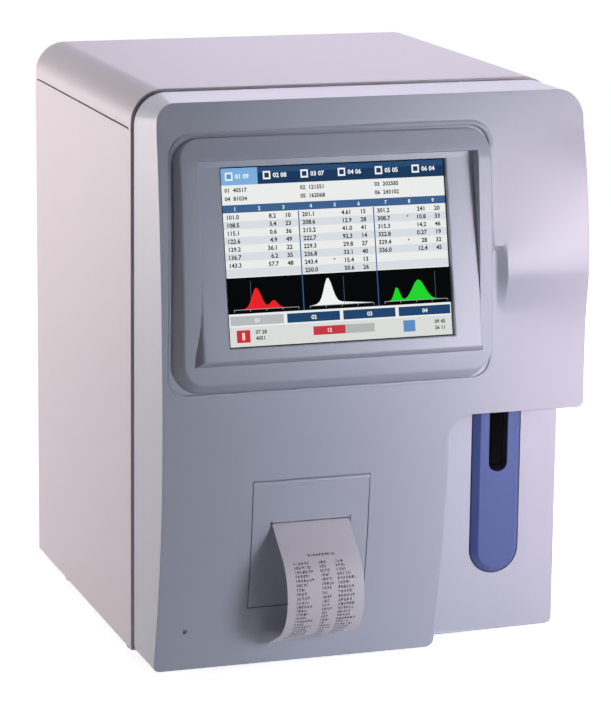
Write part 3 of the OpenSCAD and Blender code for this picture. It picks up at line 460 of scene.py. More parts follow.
# carries a flat front onto the bow, with the ridge, and tightens its upper corners
def bendFront(p):
    share = clamp((bay["back"] - 1 - p.y) / fascia["bend"])
    front = clamp((fascia["back"] - p.y) / (bow["reach"] + fascia["back"]))
    radius = fascia["corner"]
    middleX, middleZ = fascia["half"] - radius, fascia["top"] - radius
    x, z = p.x, p.z
    off = Vector((abs(x) - middleX, z - middleZ))
    if min(off) > 0 and off.length > radius - fascia["cornerIn"]:
        less = (radius - fascia["frontCorner"][x > 0]) * front
        spoke = off.normalized() * (off.length - less)
        x = math.copysign(middleX + less + spoke.x, x)
        z = middleZ + less + spoke.y
    low = clamp(1 - p.z / fascia["flareTop"])
    lean = fascia["footFlare"] * low - fascia["rightDraft"] * front * (1 - low)
    x += lean * ease((p.x - fascia["half"] + fascia["draftRun"]) / fascia["draftRun"])
    return (x, p.y + share * (bowY(p.z) + bow["reach"] - ridgeOut(p.x, p.z)), z)


def makeFascia():
    far, inside, doorInside = 260, -20, -40  # cutters start far off and end well behind the skin
    piece = outlineBlock("frontFascia", 0, -bow["reach"], fascia["back"])
    opening = block("bayOpening", (bay["x"], -far, -far), (far, bay["back"], bay["hood"]))
    bevelWhere(opening, lambda e, a, b: alongY(a, b) and a.x < far and a.z > 0, bay["corner"], 12)
    cutAway(piece, opening)

    def hoodEnd(edge, a, b):
        return sharp(edge) and alongY(a, b) and a.x > fascia["half"] - 1 and abs(a.z - bay["hood"]) < slack

    def bayFoot(edge, a, b):
        return sharp(edge) and alongY(a, b) and abs(a.x - bay["x"]) < slack and abs(a.z) < slack

    def bayBack(edge, a, b):
        outer = min(a.x, b.x) > fascia["half"] - slack or max(a.z, b.z) < bay["foot"]
        return frontRim(edge) and all(abs(p.y - bay["back"]) < near for p in (a, b)) and outer

    def backRim(edge, a, b):
        return sharp(edge) and min(a.y, b.y) > fascia["back"] - near
    bevelWhere(piece, hoodEnd, bay["hoodCorner"], 5)
    bevelWhere(piece, bayFoot, bay["foot"], 6)
    bevelRims(piece)
    bevelWhere(piece, bayBack, bay["backEdge"], 3)
    bevelWhere(piece, backRim, fascia["backEdge"], 3)
    cutAway(piece, surroundHole("surroundHole", 0, -far, inside))
    g = door["gap"]
    half = door["width"] / 2
    cutAway(piece,
            block("doorOpening", (door["x"] - half - g, -far, door["low"] - g),
                  (door["x"] + half + g, doorInside, door["high"] + g)),
            stadium("keyOpening", key["x"], key["low"] - key["gap"], key["slotTop"],
                    key["width"] / 2 + key["gap"], bay["back"] - 1, -5),
            rod("ledHole", led["r"] + slack, (led["x"], -far, led["z"]), (led["x"], inside, led["z"])))
    inner = outlineBlock("inner", fascia["wall"], fascia["skin"] - bow["reach"], 6)
    wallIn = bay["back"] + bay["wall"]
    wallX = bay["x"] - bay["wall"]
    cutAway(inner,
            block("bayWalls", (wallX, -far, -far), (far, wallIn, bay["hood"] + bay["floor"])),
            block("bayLip", (wallX, bay["back"], bay["hood"] - 1), (far, wallIn, bay["lip"])))
    cutAway(piece, inner)
    # the hood's floor is open for the key and for the needle on its way out
    keyHalf, slotHalf = key["width"] / 2 + key["gap"], key["slotW"] / 2
    under, over = bay["hood"] - 4, bay["hood"] + bay["floor"] + 1
    cutAway(piece,
            block("keyGap", (key["x"] - keyHalf, key["face"] - key["gap"], under),
                  (key["x"] + keyHalf, bay["back"] + 0.5, over)),
            block("needleGap", (key["x"] - slotHalf, bay["needle"], under),
                  (key["x"] + slotHalf, key["face"], over)))
    slicePlanes(piece, upAxis, fascia["rows"])
    slicePlanes(piece, sideAxis, fascia["columns"])
    shiftVerts(piece, bendFront)
    return finishPiece(piece, "root", "fascia_plastic", satinAbs, "front_fascia")


# grey sheet in the seam between the front and the casing: its grey is painted shade that darkens the seam
seamShade = {"inset": 1.0, "front": 0.2, "back": 2, "edge": 0.4, "thick": 0.6}


def makeSeamShade():
    front, back = fascia["back"] + seamShade["front"], casingFront + seamShade["back"]
    piece = outlineBlock("seamShadeSheet", seamShade["inset"], front, back)
    bevelWhere(piece, lambda e, a, b: sharp(e) and abs(a.y - b.y) < near, seamShade["edge"], 2)
    cutAway(piece, outlineBlock("seamShadeInside", fascia["wall"] + seamShade["thick"], -60, 60))
    # the grey finish is painted shade for the seam
    return finishPiece(piece, "root", "rubber", seamShadeGrey)


# raised block round the screen: each Run is how far that wall spreads from its face to the front
surround = {
    "left": -147, "right": 83.5, "low": 217, "high": 388, "corner": 16, "out": 10, "deep": 7, "edge": 1.3,
    "leftRun": (2.5, 7), "rightRun": 0.8, "lowRun": 7.6, "highRun": 0.3, "aside": 0.77, "gap": 0.8,
    "slopeFrom": 366, "slope": 7, "slopeStep": 3, "rowStep": 12, "holeCorner": 14, "panelGap": 0.15,
    "panelEdge": 0.5, "panelLap": 4, "flangeWall": 3.5, "flangeLow": 21, "flangeRight": 16, "flangeHigh": 15,
    "flangeDeep": (5.3, 8), "ledgeGap": 0.15, "ledgeDeep": (1.2, 6),
}
bead = {"wide": 2.2, "rise": 0.5, "topRise": 1.2, "topRun": 25, "wideRun": 200, "sunk": 0.25, "step": 5,
        "turns": 8}


def surroundHole(name, grow, y0, y1):
    s = surround
    gap = s["gap"] + grow
    piece = slab(name, s["left"] - s["leftRun"][0] - gap, s["low"] - s["lowRun"] - gap,
                 s["right"] + s["rightRun"] + gap, s["high"] + s["highRun"] + gap,
                 s["holeCorner"] + grow, y0, y1)
    lean = s["leftRun"][1] - s["leftRun"][0]

    def spread(p):
        down = (s["high"] - p.z) / (s["high"] - s["low"])
        return (p.x - (lean * down if p.x < s["left"] + s["corner"] else 0), p.y, p.z)
    shiftVerts(piece, spread)
    return piece


# low bead round the opening of the surround, strongest along the top
def makeBead():
    path = surroundHole("beadPath", 0, -40, -30)  # only its front outline is used
    ring = [local(v.co) for v in path.data.vertices if local(v.co).y < -35]
    bpy.data.objects.remove(path)
    middle = Vector((sum(p.x for p in ring) / len(ring), sum(p.z for p in ring) / len(ring)))
    ring.sort(key=lambda p: math.atan2(p.z - middle.y, p.x - middle.x))
    points = []
    for a, b in zip(ring, ring[1:] + ring[:1]):
        steps = max(int((b - a).length / bead["step"]), 1)
        points += [a.lerp(b, i / steps) for i in range(steps)]
    count = len(points)
    piece = sheetGrid("screenBead", count, bead["turns"])
    for vert in piece.data.vertices:
        i = round((vert.co.x + 0.5) * count)
        turn = (vert.co.y + 0.5) * math.pi
        p = points[i % count]
        along = points[(i + 1) % count] - points[(i - 1) % count]
        out = Vector((along.z, -along.x)).normalized()
        top = ease((p.z - surround["high"] + bead["topRun"]) / bead["topRun"])
        rise = bead["rise"] + bead["topRise"] * top
        wide = bead["wide"] * (1 + ease((p.x - surround["left"]) / bead["wideRun"]) * top)
        off = wide / 2 * (1 - math.cos(turn))
        x, z = p.x + out.x * off, p.z + out.y * off
        y = bowY(z) - ridgeOut(x, z) + bead["sunk"] - (rise + bead["sunk"]) * math.sin(turn)
        vert.co = at(x, y, z)
    tidyMesh(piece)
    return finishPiece(piece, "root", "fascia_plastic", satinAbs, smooth=60)


# how far the surround's face stands out of the bow: less towards its top
def surroundOut(z):
    s = surround
    return s["out"] - s["slope"] * (max(z - s["slopeFrom"], 0) / (s["high"] - s["slopeFrom"])) ** 1.5


# cutter for the panel's place
def panelHole(extra):
    c = screen
    half, high = c["width"] / 2 + extra, c["high"] / 2 + extra
    return tiltPanel(block("panelHole", (c["x"] - half, c["y"] - 60, c["z"] - high),
                           (c["x"] + half, c["y"] + 60, c["z"] + high)))


# the rim of that place, where it meets the surround's face
def holeRim(edge, a, b):
    c = screen
    if not sharp(edge, 50) or max(abs(a.x - c["x"]), abs(b.x - c["x"])) > c["width"] / 2 + 0.3:
        return False
    return min(f.normal.y for f in edge.link_faces) < -0.9


def makeSurround():
    s = surround
    front, back = -bow["reach"] - 40, -30
    step = s["rowStep"]
    piece = slab("screenSurround", s["left"], s["low"], s["right"], s["high"], s["corner"], front, back)
    slicePlanes(piece, upAxis, [*range(s["low"] + 8, s["slopeFrom"] - 2, step),
                                *range(s["slopeFrom"], s["high"], s["slopeStep"])])
    middle = (s["left"] + s["right"]) / 2, (s["low"] + s["high"]) / 2
    halfW, halfH = (s["right"] - s["left"]) / 2 - s["corner"], (s["high"] - s["low"]) / 2 - s["corner"]

    def flare(p):
        if p.y < front + 1:
            return (p.x, bowY(p.z, surroundOut(p.z)), p.z)
        pastX, pastZ = abs(p.x - middle[0]) - halfW, abs(p.z - middle[1]) - halfH
        side = Vector((max(pastX, 0), max(pastZ, 0))) / s["corner"]
        share = 1 + s["deep"] / s["out"]
        down = (s["high"] - p.z) / (s["high"] - s["low"])
        leftRun = s["leftRun"][0] + (s["leftRun"][1] - s["leftRun"][0]) * down
        dx = side.x * (s["rightRun"] if p.x > middle[0] else -leftRun)
        dz = side.y * (s["highRun"] if p.z > middle[1] else -s["lowRun"])
        return (p.x + dx * share, bowY(p.z) + s["deep"], p.z + dz * share)

    def faceRim(edge, a, b):
        return frontRim(edge, s["aside"]) and max(a.y, b.y) < -60 and edge.calc_face_angle(0) > 0.7
    shiftVerts(piece, flare)
    bevelWhere(piece, faceRim, s["edge"], 3)
    cutAway(piece, panelHole(s["panelGap"]))
    bevelWhere(piece, holeRim, s["panelEdge"], 2)
    # flange behind the fascia's skin, and the ledge that closes the gap round the block
    flange = slab("surroundFlange", s["flangeWall"] - fascia["half"], s["low"] - s["flangeLow"],
                  s["right"] + s["flangeRight"], s["high"] + s["flangeHigh"], s["corner"], -60, -20)
    ledge = surroundHole("gapLedge", -s["ledgeGap"], -60, -20)
    for plate, rows, deep in ((flange, range(s["low"] - 8, s["high"] + 8, step), s["flangeDeep"]),
                              (ledge, range(s["low"] - 8, s["high"], step), s["ledgeDeep"])):
        slicePlanes(plate, upAxis, rows)
        shiftVerts(plate, lambda p: (p.x, bowY(p.z) + deep[p.y > -40], p.z))
        cutAway(plate, panelHole(-s["panelLap"]))
    joinTo(piece, flange, ledge)
    return finishPiece(piece, "root", "fascia_plastic", satinAbs, "screen_surround")


# tilted panel: made upright, then turned about the middle of its face
screen = {
    "x": -30.45, "z": 303, "width": 207.1, "high": 139, "tilt": 12.5, "crossZ": 272, "deep": 26, "skirt": 5.5,
    "rightSkirt": 0.3, "highSkirt": 0.02, "lowSkirt": 0.6, "edge": 1.2, "lcdX": -0.9, "lcdW": 167.2,
    "lcdH": 126.3, "lcdUp": 2.4, "chamfer": 0.5, "recess": 3, "border": 0.8, "inkGap": 0.03, "glass": 1.1,
    "lcdDeep": 5, "lcdCorner": 0.6, "lcdEdge": 0.2, "lcdLap": 3,
}
screen["y"] = bowY(screen["crossZ"], surround["out"]) + (
    screen["z"] - screen["crossZ"]) * math.tan(math.radians(screen["tilt"]))


def tiltPanel(piece):
    middle = Matrix.Translation(at(screen["x"], screen["y"], screen["z"]))
    piece.data.transform(middle @ Matrix.Rotation(-math.radians(screen["tilt"]), 4, "X") @ middle.inverted())
    return piece


def makePanel():
    c = screen
    half, high = c["width"] / 2, c["high"] / 2
    piece = block("screenPanel", (c["x"] - half, c["y"], c["z"] - high),
                  (c["x"] + half, c["y"] + c["deep"], c["z"] + high))
    slicePlanes(piece, depthAxis, [c["y"] + c["skirt"]])

    # the lower walls spread towards the surround, the upper ones stay straight
    def spread(p):
        if p.y < c["y"] + slack:
            return p
        out = c["skirt"]
        low = p.z < c["z"]
        side = c["rightSkirt"] if p.x > c["x"] else -1
        drop = c["lowSkirt"] * out if low else 0
        return (p.x + side * out * (1 if low else c["highSkirt"]), p.y, p.z - drop)
    shiftVerts(piece, spread)
    lead = 10  # the window's cutter starts this far in front
    middle, up = c["x"] + c["lcdX"], c["z"] + c["lcdUp"]
    window = block("screenWindow", (middle - c["lcdW"] / 2, c["y"] - lead, up - c["lcdH"] / 2),
                   (middle + c["lcdW"] / 2, c["y"] + 60, up + c["lcdH"] / 2))
    slicePlanes(window, depthAxis, [c["y"] + c["recess"]])
    grow = c["chamfer"] * (lead + c["recess"]) / c["recess"]

    def widen(p):
        if p.y > c["y"] - lead / 2:
            return p
        return (p.x + math.copysign(grow, p.x - middle), p.y, p.z + math.copysign(grow, p.z - up))

    def faceEdge(edge, a, b):
        return max(a.y, b.y) < c["y"] + slack and edge.calc_face_angle(0) > 0.2
    shiftVerts(window, widen)
    cutAway(piece, window)
    bevelWhere(piece, faceEdge, c["edge"], 3)
    tiltPanel(piece)
    return finishPiece(piece, "root", "fascia_plastic", satinAbs, "screen_panel")


# glass right behind the picture, and the display module behind the glass
def makeDisplay():
    c = screen
    front = c["y"] + c["recess"]
    back = front + c["glass"]
    middle, up = c["x"] + c["lcdX"], c["z"] + c["lcdUp"]
    for name, node, slot, finish, grow, y0, y1 in (
            ("touchGlass", "touch_glass", "screen_glass", clearGlass, -slack, front, back),
            ("lcdModule", "lcd_module", "screen_lit", blackPlastic, c["lcdLap"], back + slack,
             back + c["lcdDeep"])):
        w, h = c["lcdW"] / 2 + grow, c["lcdH"] / 2 + grow
        piece = slab(name, middle - w, up - h, middle + w, up + h, c["lcdCorner"], y0, y1, 3)
        bevelWhere(piece, lambda e, a, b: sharp(e) and abs(a.y - b.y) < near, c["lcdEdge"], 2)
        tiltPanel(piece)
        finishPiece(piece, "root", slot, finish, node)


# the lit picture: flat patches of ink on the display, in millimetres from its upper left corner
picture = {
    "column": 56.4, "stripe": 55.6, "rowHeight": 5.6, "rowTop": 32, "rowText": 4.3, "plotTop": 77.5,
    "plotLow": 103, "baseLine": 100, "plotW": 48, "plotH": 20, "plotSteps": 32, "textBold": 0.03,
    "values": (("8.2", "3.4", "0.6", "4.9", "36.1", "6.2", "57.7"),
               ("4.61", "12.9", "41.0", "92.3", "29.8", "33.1", "15.4", "50.6"),
               ("241", "10.8", "14.2", "0.27", "28", "12.4")),
    "flags": ((80, 67), (137, 39), (137, 56)),
    # each plot: ink, humps of (height, middle, width), and the height of a long tail
    "plots": (("#e8232a", ((0.75, 0.36, 0.1), (0.28, 0.62, 0.08)), 0),
              ("#f4f6f4", ((0.85, 0.3, 0.09),), 0.18),
              ("#1fd82c", ((0.5, 0.2, 0.06), (0.72, 0.55, 0.14)), 0)),
}
ink = {
    "border": "#0c0f14", "page": "#eef0ef", "header": "#1c3a5e", "sheen": "#2a4d75", "tab": "#7fb0de",
    "icon": "#f2f5f8", "iconLit": "#5c93c8", "fact": "#33373d", "bar": "#3f6390", "barText": "#e6edf4",
    "stripe": "#dbe0e5", "value": "#23272d", "rule": "#2f5a94", "flag": "#d8363a", "plot": "#030405",
    "axis": "#9aa4ad", "marker": "#55606b", "button": "#21456f", "buttonOff": "#b9bdc0",
    "buttonText": "#eef2f5", "foot": "#dcdfdc", "stop": "#c8343a", "stopMark": "#f2d8d8", "mode": "#c53c44",
    "modeOff": "#b4b8b8", "modeText": "#f4e4e4", "link": "#5f8fc2",
}
litInks = {}
lcdShapes = []


# lit pixels: even, glowing and matt, with a faint mottle coarser than real pixels so that it shows
def litInk(hexColor):
    if hexColor not in litInks:
        material, tree, shader, place = startFinish(
            "lcd_pixel_" + hexColor[1:], Base_Color=tone("#000000"), Roughness=0.8, Specular_IOR_Level=0.02,
            Emission_Strength=1.0)
        grid = addNode(tree, "ShaderNodeTexNoise", {"Vector": place, "Scale": 1 / (0.6 * mm)})
        dim = tuple(0.94 * v for v in tone(hexColor)[:3]) + (1,)
        shade = addNode(tree, "ShaderNodeMixRGB", {"Fac": grid, "Color1": tone(hexColor), "Color2": dim})
        tree.links.new(shade.outputs["Color"], shader.inputs["Emission Color"])
        litInks[hexColor] = material
    return litInks[hexColor]


# place of a point of the picture; a higher level lies nearer the eye
def lcdPlace(u, v, level):
    c = screen
    rim = c["border"]
    across = rim + u * (1 - 2 * rim / c["lcdW"]) - c["lcdW"] / 2
    down = rim + v * (1 - 2 * rim / c["lcdH"]) - c["lcdH"] / 2
    y = c["y"] + c["recess"] - c["inkGap"] - c["inkGap"] * level
    return (c["x"] + c["lcdX"] + across, y, c["z"] + c["lcdUp"] - down)


def litShape(points, hexColor, level):
    lcdShapes.append(([lcdPlace(u, v, level) for u, v in points], hexColor))


def litRect(u0, v0, u1, v1, hexColor, level=1):
    litShape([(u0, v0), (u0, v1), (u1, v1), (u1, v0)], hexColor, level)


def litText(words, u, v, size, hexColor, align="LEFT", gap=1.0):
    clearSelection()
    bpy.ops.object.text_add()
    label = bpy.context.object
    label.data.body = words
    label.data.size = size * mm
    label.data.space_line = gap
    label.data.align_x = align
    label.data.resolution_u = 2
    label.data.offset = picture["textBold"] * size * mm
    bpy.ops.object.convert(target="MESH")
    label = bpy.context.object
    label.data.transform(Matrix.Translation(at(*lcdPlace(u, v, 7))) @ Matrix.Rotation(math.radians(90), 4, "X"))
    label.data.materials.append(litInk(hexColor))
    return label


def drawHeader(w):
    litRect(0, 0, w, 12, ink["header"], 2)
    litRect(0, 0, w, 4, ink["sheen"], 3)
    litRect(0, 0, 27, 12, ink["tab"], 4)
    labels = []
    for i in range(6):
        u = 3 + i * 28
        litRect(u, 3, u + 5.6, 8.8, ink["icon"], 5)
        litRect(u + 1.1, 4.2, u + 4.5, 7.6, ink["header" if i else "iconLit"], 6)
        labels.append(litText("0%d 0%d" % (i + 1, 9 - i), u + 7.4, 7.6, 4.4, ink["icon"]))
    for row in range(2):
        for col in range(3):
            words = "%02d  %d" % (row * 3 + col + 1, 40517 * (row + 2 * col + 1))
            labels.append(litText(words, 2 + col * 56, 17 + row * 6, 4, ink["fact"]))
    return labels


# three groups of rows, each with names, values and marks
def drawRows(w):
    c = picture
    high, top = c["rowHeight"], c["rowTop"]
    litRect(0, 26, w, 31.6, ink["bar"], 2)
    labels = []
    for col, values in enumerate(c["values"]):
        u = col * c["column"]
        rows = range(len(values))
        for i in range(3):
            labels.append(litText(str(i + 1 + 3 * col), u + 8 + i * 18, 30.2, 3.6, ink["barText"]))
        for row in range(1, 8, 2):
            litRect(u, top + row * high, min(u + c["stripe"], w), top + (row + 1) * high, ink["stripe"], 2)
        names = ["%d%02d.%d" % (col + 1, row * 7 + 1, (row * 5 + col) % 9) for row in rows]
        marks = ["%02d" % ((row * 13 + col * 5) % 40 + 10) for row in rows]
        for words, place, align in ((names, 2, "LEFT"), (values, 39, "RIGHT"), (marks, 50, "RIGHT")):
            labels.append(litText("\n".join(words), u + place, top + 4.2, c["rowText"], ink["value"], align,
                                  high / c["rowText"]))
        if col:
            litRect(u - 0.9, top, u - 0.1, c["plotLow"], ink["rule"], 5)
    for u, v in c["flags"]:
        litShape([(u, v), (u + 0.9, v + 1.6), (u + 1.8, v)], ink["flag"], 4)
    return labels


def drawPlots(w):
    c = picture
    litRect(0, c["plotTop"], w, c["plotLow"], ink["plot"], 2)
    base, steps = c["baseLine"], c["plotSteps"]

    def height(t, humps, tail):
        body = sum(high * math.exp(-((t - middle) / wide) ** 2) for high, middle, wide in humps)
        return body + tail * ease(t * 3) * (1 - t)
    for col, (color, humps, tail) in enumerate(c["plots"]):
        u = col * c["column"] + 4
        top = [(u + c["plotW"] * i / steps, base - c["plotH"] * height(i / steps, humps, tail))
               for i in range(steps + 1)]
        for (u0, v0), (u1, v1) in zip(top, top[1:]):
            litShape([(u0, v0), (u0, base), (u1, base), (u1, v1)], color, 3)
        litRect(u, base, u + c["plotW"], base + 0.4, ink["axis"], 4)
        for i in range(5):
            litRect(u + i * 12, base + 0.4, u + i * 12 + 0.4, base + 1.6, ink["axis"], 4)
        litRect(u + 13 * (col + 1), 80, u + 13 * (col + 1) + 0.3, base, ink["marker"], 4)


# buttons and the bar below
def drawFoot(w, h):
    labels = []
    for i in range(4):
        u = 1 + i * 42
        litRect(u, 104.6, u + 39.5, 111.2, ink["button" if i else "buttonOff"], 2)
        labels.append(litText("%02d" % (i + 1), u + 20, 109.4, 4, ink["buttonText"], "CENTER"))
    for u0, v0, u1, v1, name, level in (
            (0, 112.4, w, h, "foot", 2), (5, 114.6, 15, 123.4, "stop", 3), (9, 116.4, 11, 121.6, "stopMark", 4),
            (62, 114.8, 86, 121, "mode", 3), (86, 114.8, 108, 121, "modeOff", 3),
            (130, 114.4, 139, 122.6, "link", 3)):
        litRect(u0, v0, u1, v1, ink[name], level)
    labels.append(litText("07 28\n4051", 19, 117.6, 3.6, ink["fact"], gap=1.2))
    labels.append(litText("12", 74, 119.2, 3.8, ink["modeText"], "CENTER"))
    labels.append(litText("09 45\n26 11", 158, 117.6, 3.6, ink["fact"], "CENTER", 1.2))
    return labels


def makePicture():
    w, h = screen["lcdW"], screen["lcdH"]
    litRect(-1, -1, w + 1, h + 1, ink["border"], 0)
    litRect(0, 0, w, h, ink["page"])
    labels = drawHeader(w) + drawRows(w)
    drawPlots(w)
    labels += drawFoot(w, h)
    mesh = bpy.data.meshes.new("screenPicture")
    piece = bpy.data.objects.new("screenPicture", mesh)
    bpy.context.scene.collection.objects.link(piece)
    points = [at(*p) for shape, color in lcdShapes for p in shape]
    faces, first = [], 0
    for shape, color in lcdShapes:
        faces.append(list(range(first, first + len(shape))))
        first += len(shape)
    mesh.from_pydata(points, [], faces)
    colors = sorted({color for shape, color in lcdShapes})
    for color in colors:
        mesh.materials.append(litInk(color))
    for face, (shape, color) in zip(mesh.polygons, lcdShapes):
        face.material_index = colors.index(color)
    joinTo(piece, *labels)
    tiltPanel(piece)
    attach(piece, "root")
    return piece


# printer door: a thin plate in the bow with a slot for the strip and a barrel for its pin
door = {
    "x": -49.35, "width": 87.3, "low": 46.3, "high": 142.6, "gap": 0.6, "thick": 2.5, "barrel": 2.5,
    "rowStep": 8, "slotZ": 110, "slotW": 59.5, "slotLow": 109, "slotHigh": 110.8, "notch": 1,
    "notchDeep": 1.1, "notchHigh": 2.6, "edge": 0.25,
}


def makeDoor():
    far = 200
    half = door["width"] / 2
    top = door["high"] - door["barrel"]
    left, right = door["x"] - half, door["x"] + half
    piece = block("printerDoor", (left, -far, door["low"]), (right, -20, top))
    slicePlanes(piece, upAxis, [door["low"] + door["rowStep"] * i for i in range(1, 12)])
    shiftVerts(piece, lambda p: (p.x, bowY(p.z) if p.y < -far / 2 else bowY(p.z) + door["thick"], p.z))
    w, z, n, high = door["slotW"] / 2, door["slotZ"], door["notch"], door["notchHigh"]
    inside = bowY(z) + door["notchDeep"]
    ends = door["x"] - w, door["x"] + w
    cutAway(piece, block("stripSlot", (ends[0], -far, door["slotLow"]), (ends[1], 0, door["slotHigh"])))
    for x in ends:
        cutAway(piece, block("slotEnd", (x - n, -far, z - high), (x + n, inside, z + high)))
    bevelWhere(piece, lambda e, a, b: frontRim(e), door["edge"], 2)
    barrelY = bowY(door["high"]) + door["barrel"]
    joinTo(piece, rod("doorBarrel", door["barrel"], (left, barrelY, top), (right, barrelY, top), 32))
    return finishPiece(piece, "door", "fascia_plastic", satinAbs, "printer_door")


# printed strip: the fills are shares of a line and of a letter, blank is the share of dots left bare, and
# shortest is the least share of a column that a row fills
paper = {
    "width": 57.5, "lead": 30, "dip": 38, "curl": 36, "turn": (114, 130), "tail": 29.2, "thick": 0.12,
    "linePitch": 3.15, "lineFill": 0.68, "letter": 2.1, "letterFill": 0.76, "dot": 0.42, "blank": 0.36,
    "headLine": 9, "headPlace": (19, 39), "bodyLines": (11, 37), "columns": ((7, 21), (26, 35), (38, 52)),
    "shortest": 0.4,
}
paper["length"] = paper["lead"] + math.radians(paper["turn"][0]) * paper["curl"] + paper["tail"]


# thermal paper: smooth matt white, printed with rows of short grey marks; the dots and the fibres are
# coarser than real ones so that they show
def paperFinish():
    c = paper
    material, tree, shader, place = startFinish("thermal_paper_coated", Roughness=0.62)
    sides = addNode(tree, "ShaderNodeSeparateXYZ", {"Vector": addNode(tree, "ShaderNodeUVMap", uv_map="UVMap")})
    made = {"u": sides.outputs["X"], "v": sides.outputs["Y"]}

    def within(name, source, low, high):
        return (name, "COMPARE", source, (low + high) / 2, (high - low) / 2)
    # each step: its name, what it does, and the earlier steps or numbers that it takes
    steps = [
        ("across", "MULTIPLY", "u", c["width"]),
        ("down", "MULTIPLY", "v", c["length"]),
        ("rows", "DIVIDE", "down", c["linePitch"]),
        ("line", "FLOOR", "rows"),
        ("rowPart", "FRACT", "rows"),
        within("inRow", "rowPart", (1 - c["lineFill"]) / 2, (1 + c["lineFill"]) / 2),
        ("letters", "DIVIDE", "across", c["letter"]),
        ("letterPart", "FRACT", "letters"),
        within("inLetter", "letterPart", 0, c["letterFill"]),
        ("dotsX", "DIVIDE", "across", c["dot"]),
        ("dotX", "FLOOR", "dotsX"),
        ("dotsY", "DIVIDE", "down", c["dot"]),
        ("dotY", "FLOOR", "dotsY"),
        ("chance", "RANDOM", "dotX", "dotY"),
        ("dot", "GREATER_THAN", "chance", c["blank"]),
        within("headLine", "line", c["headLine"] - 0.5, c["headLine"] + 0.5),
        within("headPlace", "across", *c["headPlace"]),
        ("marks", "MULTIPLY", "headLine", "headPlace"),
        within("body", "line", c["bodyLines"][0] - 0.5, c["bodyLines"][1] + 0.5),
    ]
    for i, (low, high) in enumerate(c["columns"]):
        steps += [
            ("chance", "RANDOM", "line", i),
            ("run", "MULTIPLY", "chance", (1 - c["shortest"]) * (high - low)),
            ("end", "ADD", "run", c["shortest"] * high + (1 - c["shortest"]) * low),
            ("begun", "GREATER_THAN", "across", low),
            ("open", "LESS_THAN", "across", "end"),
            ("word", "MULTIPLY", "begun", "open"),
            ("word", "MULTIPLY", "word", "body"),
            ("marks", "MAXIMUM", "marks", "word"),
        ]
    steps += [("marks", "MULTIPLY", "marks", name) for name in ("dot", "inLetter", "inRow")]
    for name, operation, *sources in steps:
        links = {i: made.get(source, source) for i, source in enumerate(sources)}
        if operation == "RANDOM":
            cell = addNode(tree, "ShaderNodeCombineXYZ", links)
            made[name] = addNode(tree, "ShaderNodeTexWhiteNoise", {"Vector": cell}, noise_dimensions="2D")
        else:
            made[name] = addNode(tree, "ShaderNodeMath", links, operation=operation)
    shade = addNode(tree, "ShaderNodeMixRGB", {
        "Fac": made["marks"], "Color1": tone("#e4dde0"), "Color2": tone("#232127")})
    tree.links.new(shade.outputs["Color"], shader.inputs["Base Color"])
    fibre = addNode(tree, "ShaderNodeTexNoise", {"Vector": place, "Scale": 1 / (0.5 * mm), "Detail": 3.0})
    bump = addNode(tree, "ShaderNodeBump", {"Height": fibre, "Distance": 0.01 * mm, "Strength": 0.4})
    tree.links.new(bump.outputs["Normal"], shader.inputs["Normal"])
    return material


# the strip leaves the slot straight, curls under, more at its right side, and ends straight
def stripPlace(along, turn):
    dip = math.radians(paper["dip"])
    heading = Vector((-math.cos(dip), -math.sin(dip)))
    side = Vector((-math.sin(dip), math.cos(dip)))
    start = Vector((bowY(door["slotZ"]) + 1, door["slotZ"]))
    if along <= paper["lead"]:
        return start + heading * along
    middle = start + heading * paper["lead"] - side * paper["curl"]
    angle = min((along - paper["lead"]) / paper["curl"], math.radians(turn))
    cosine, sine = math.cos(angle), math.sin(angle)
    spoke = Vector((side.x * cosine - side.y * sine, side.x * sine + side.y * cosine))
    rest = max(along - paper["lead"] - paper["curl"] * angle, 0)
    return middle + spoke * paper["curl"] + Vector((-spoke.y, spoke.x)) * rest


def makeStrip():
    piece = sheetGrid("paperStrip", 10, 96)
    left, right = paper["turn"]
    for vert in piece.data.vertices:
        across, along = vert.co.x, (vert.co.y + 0.5) * paper["length"]
        y, z = stripPlace(along, left + (right - left) * (across + 0.5))
        vert.co = at(door["x"] + across * paper["width"], y, z)
    tidyMesh(piece)
    skin = piece.modifiers.new("thickness", "SOLIDIFY")
    skin.thickness = paper["thick"] * mm
    skin.offset = 0
    bpy.ops.object.modifier_apply(modifier=skin.name)
    finishPiece(piece, "door", "paper", paperFinish(), "paper_strip", smooth=60)
    return piece


# long key with round lower end, bevelled, a slot for the needle and a seat for its spring
key = {
    "x": 112.1, "width": 37.6, "low": 45, "top": 193, "blankTop": 280, "face": -31.5, "thick": 7.5, "gap": 0.8,
    "chamfer": 4.6, "soft": 0.5, "slotW": 14.4, "slotLow": 124, "slotTop": 300, "slotWall": 2, "relief": 4,
    "seatZ": 67, "seatR": 5.6, "seat": 4,
}


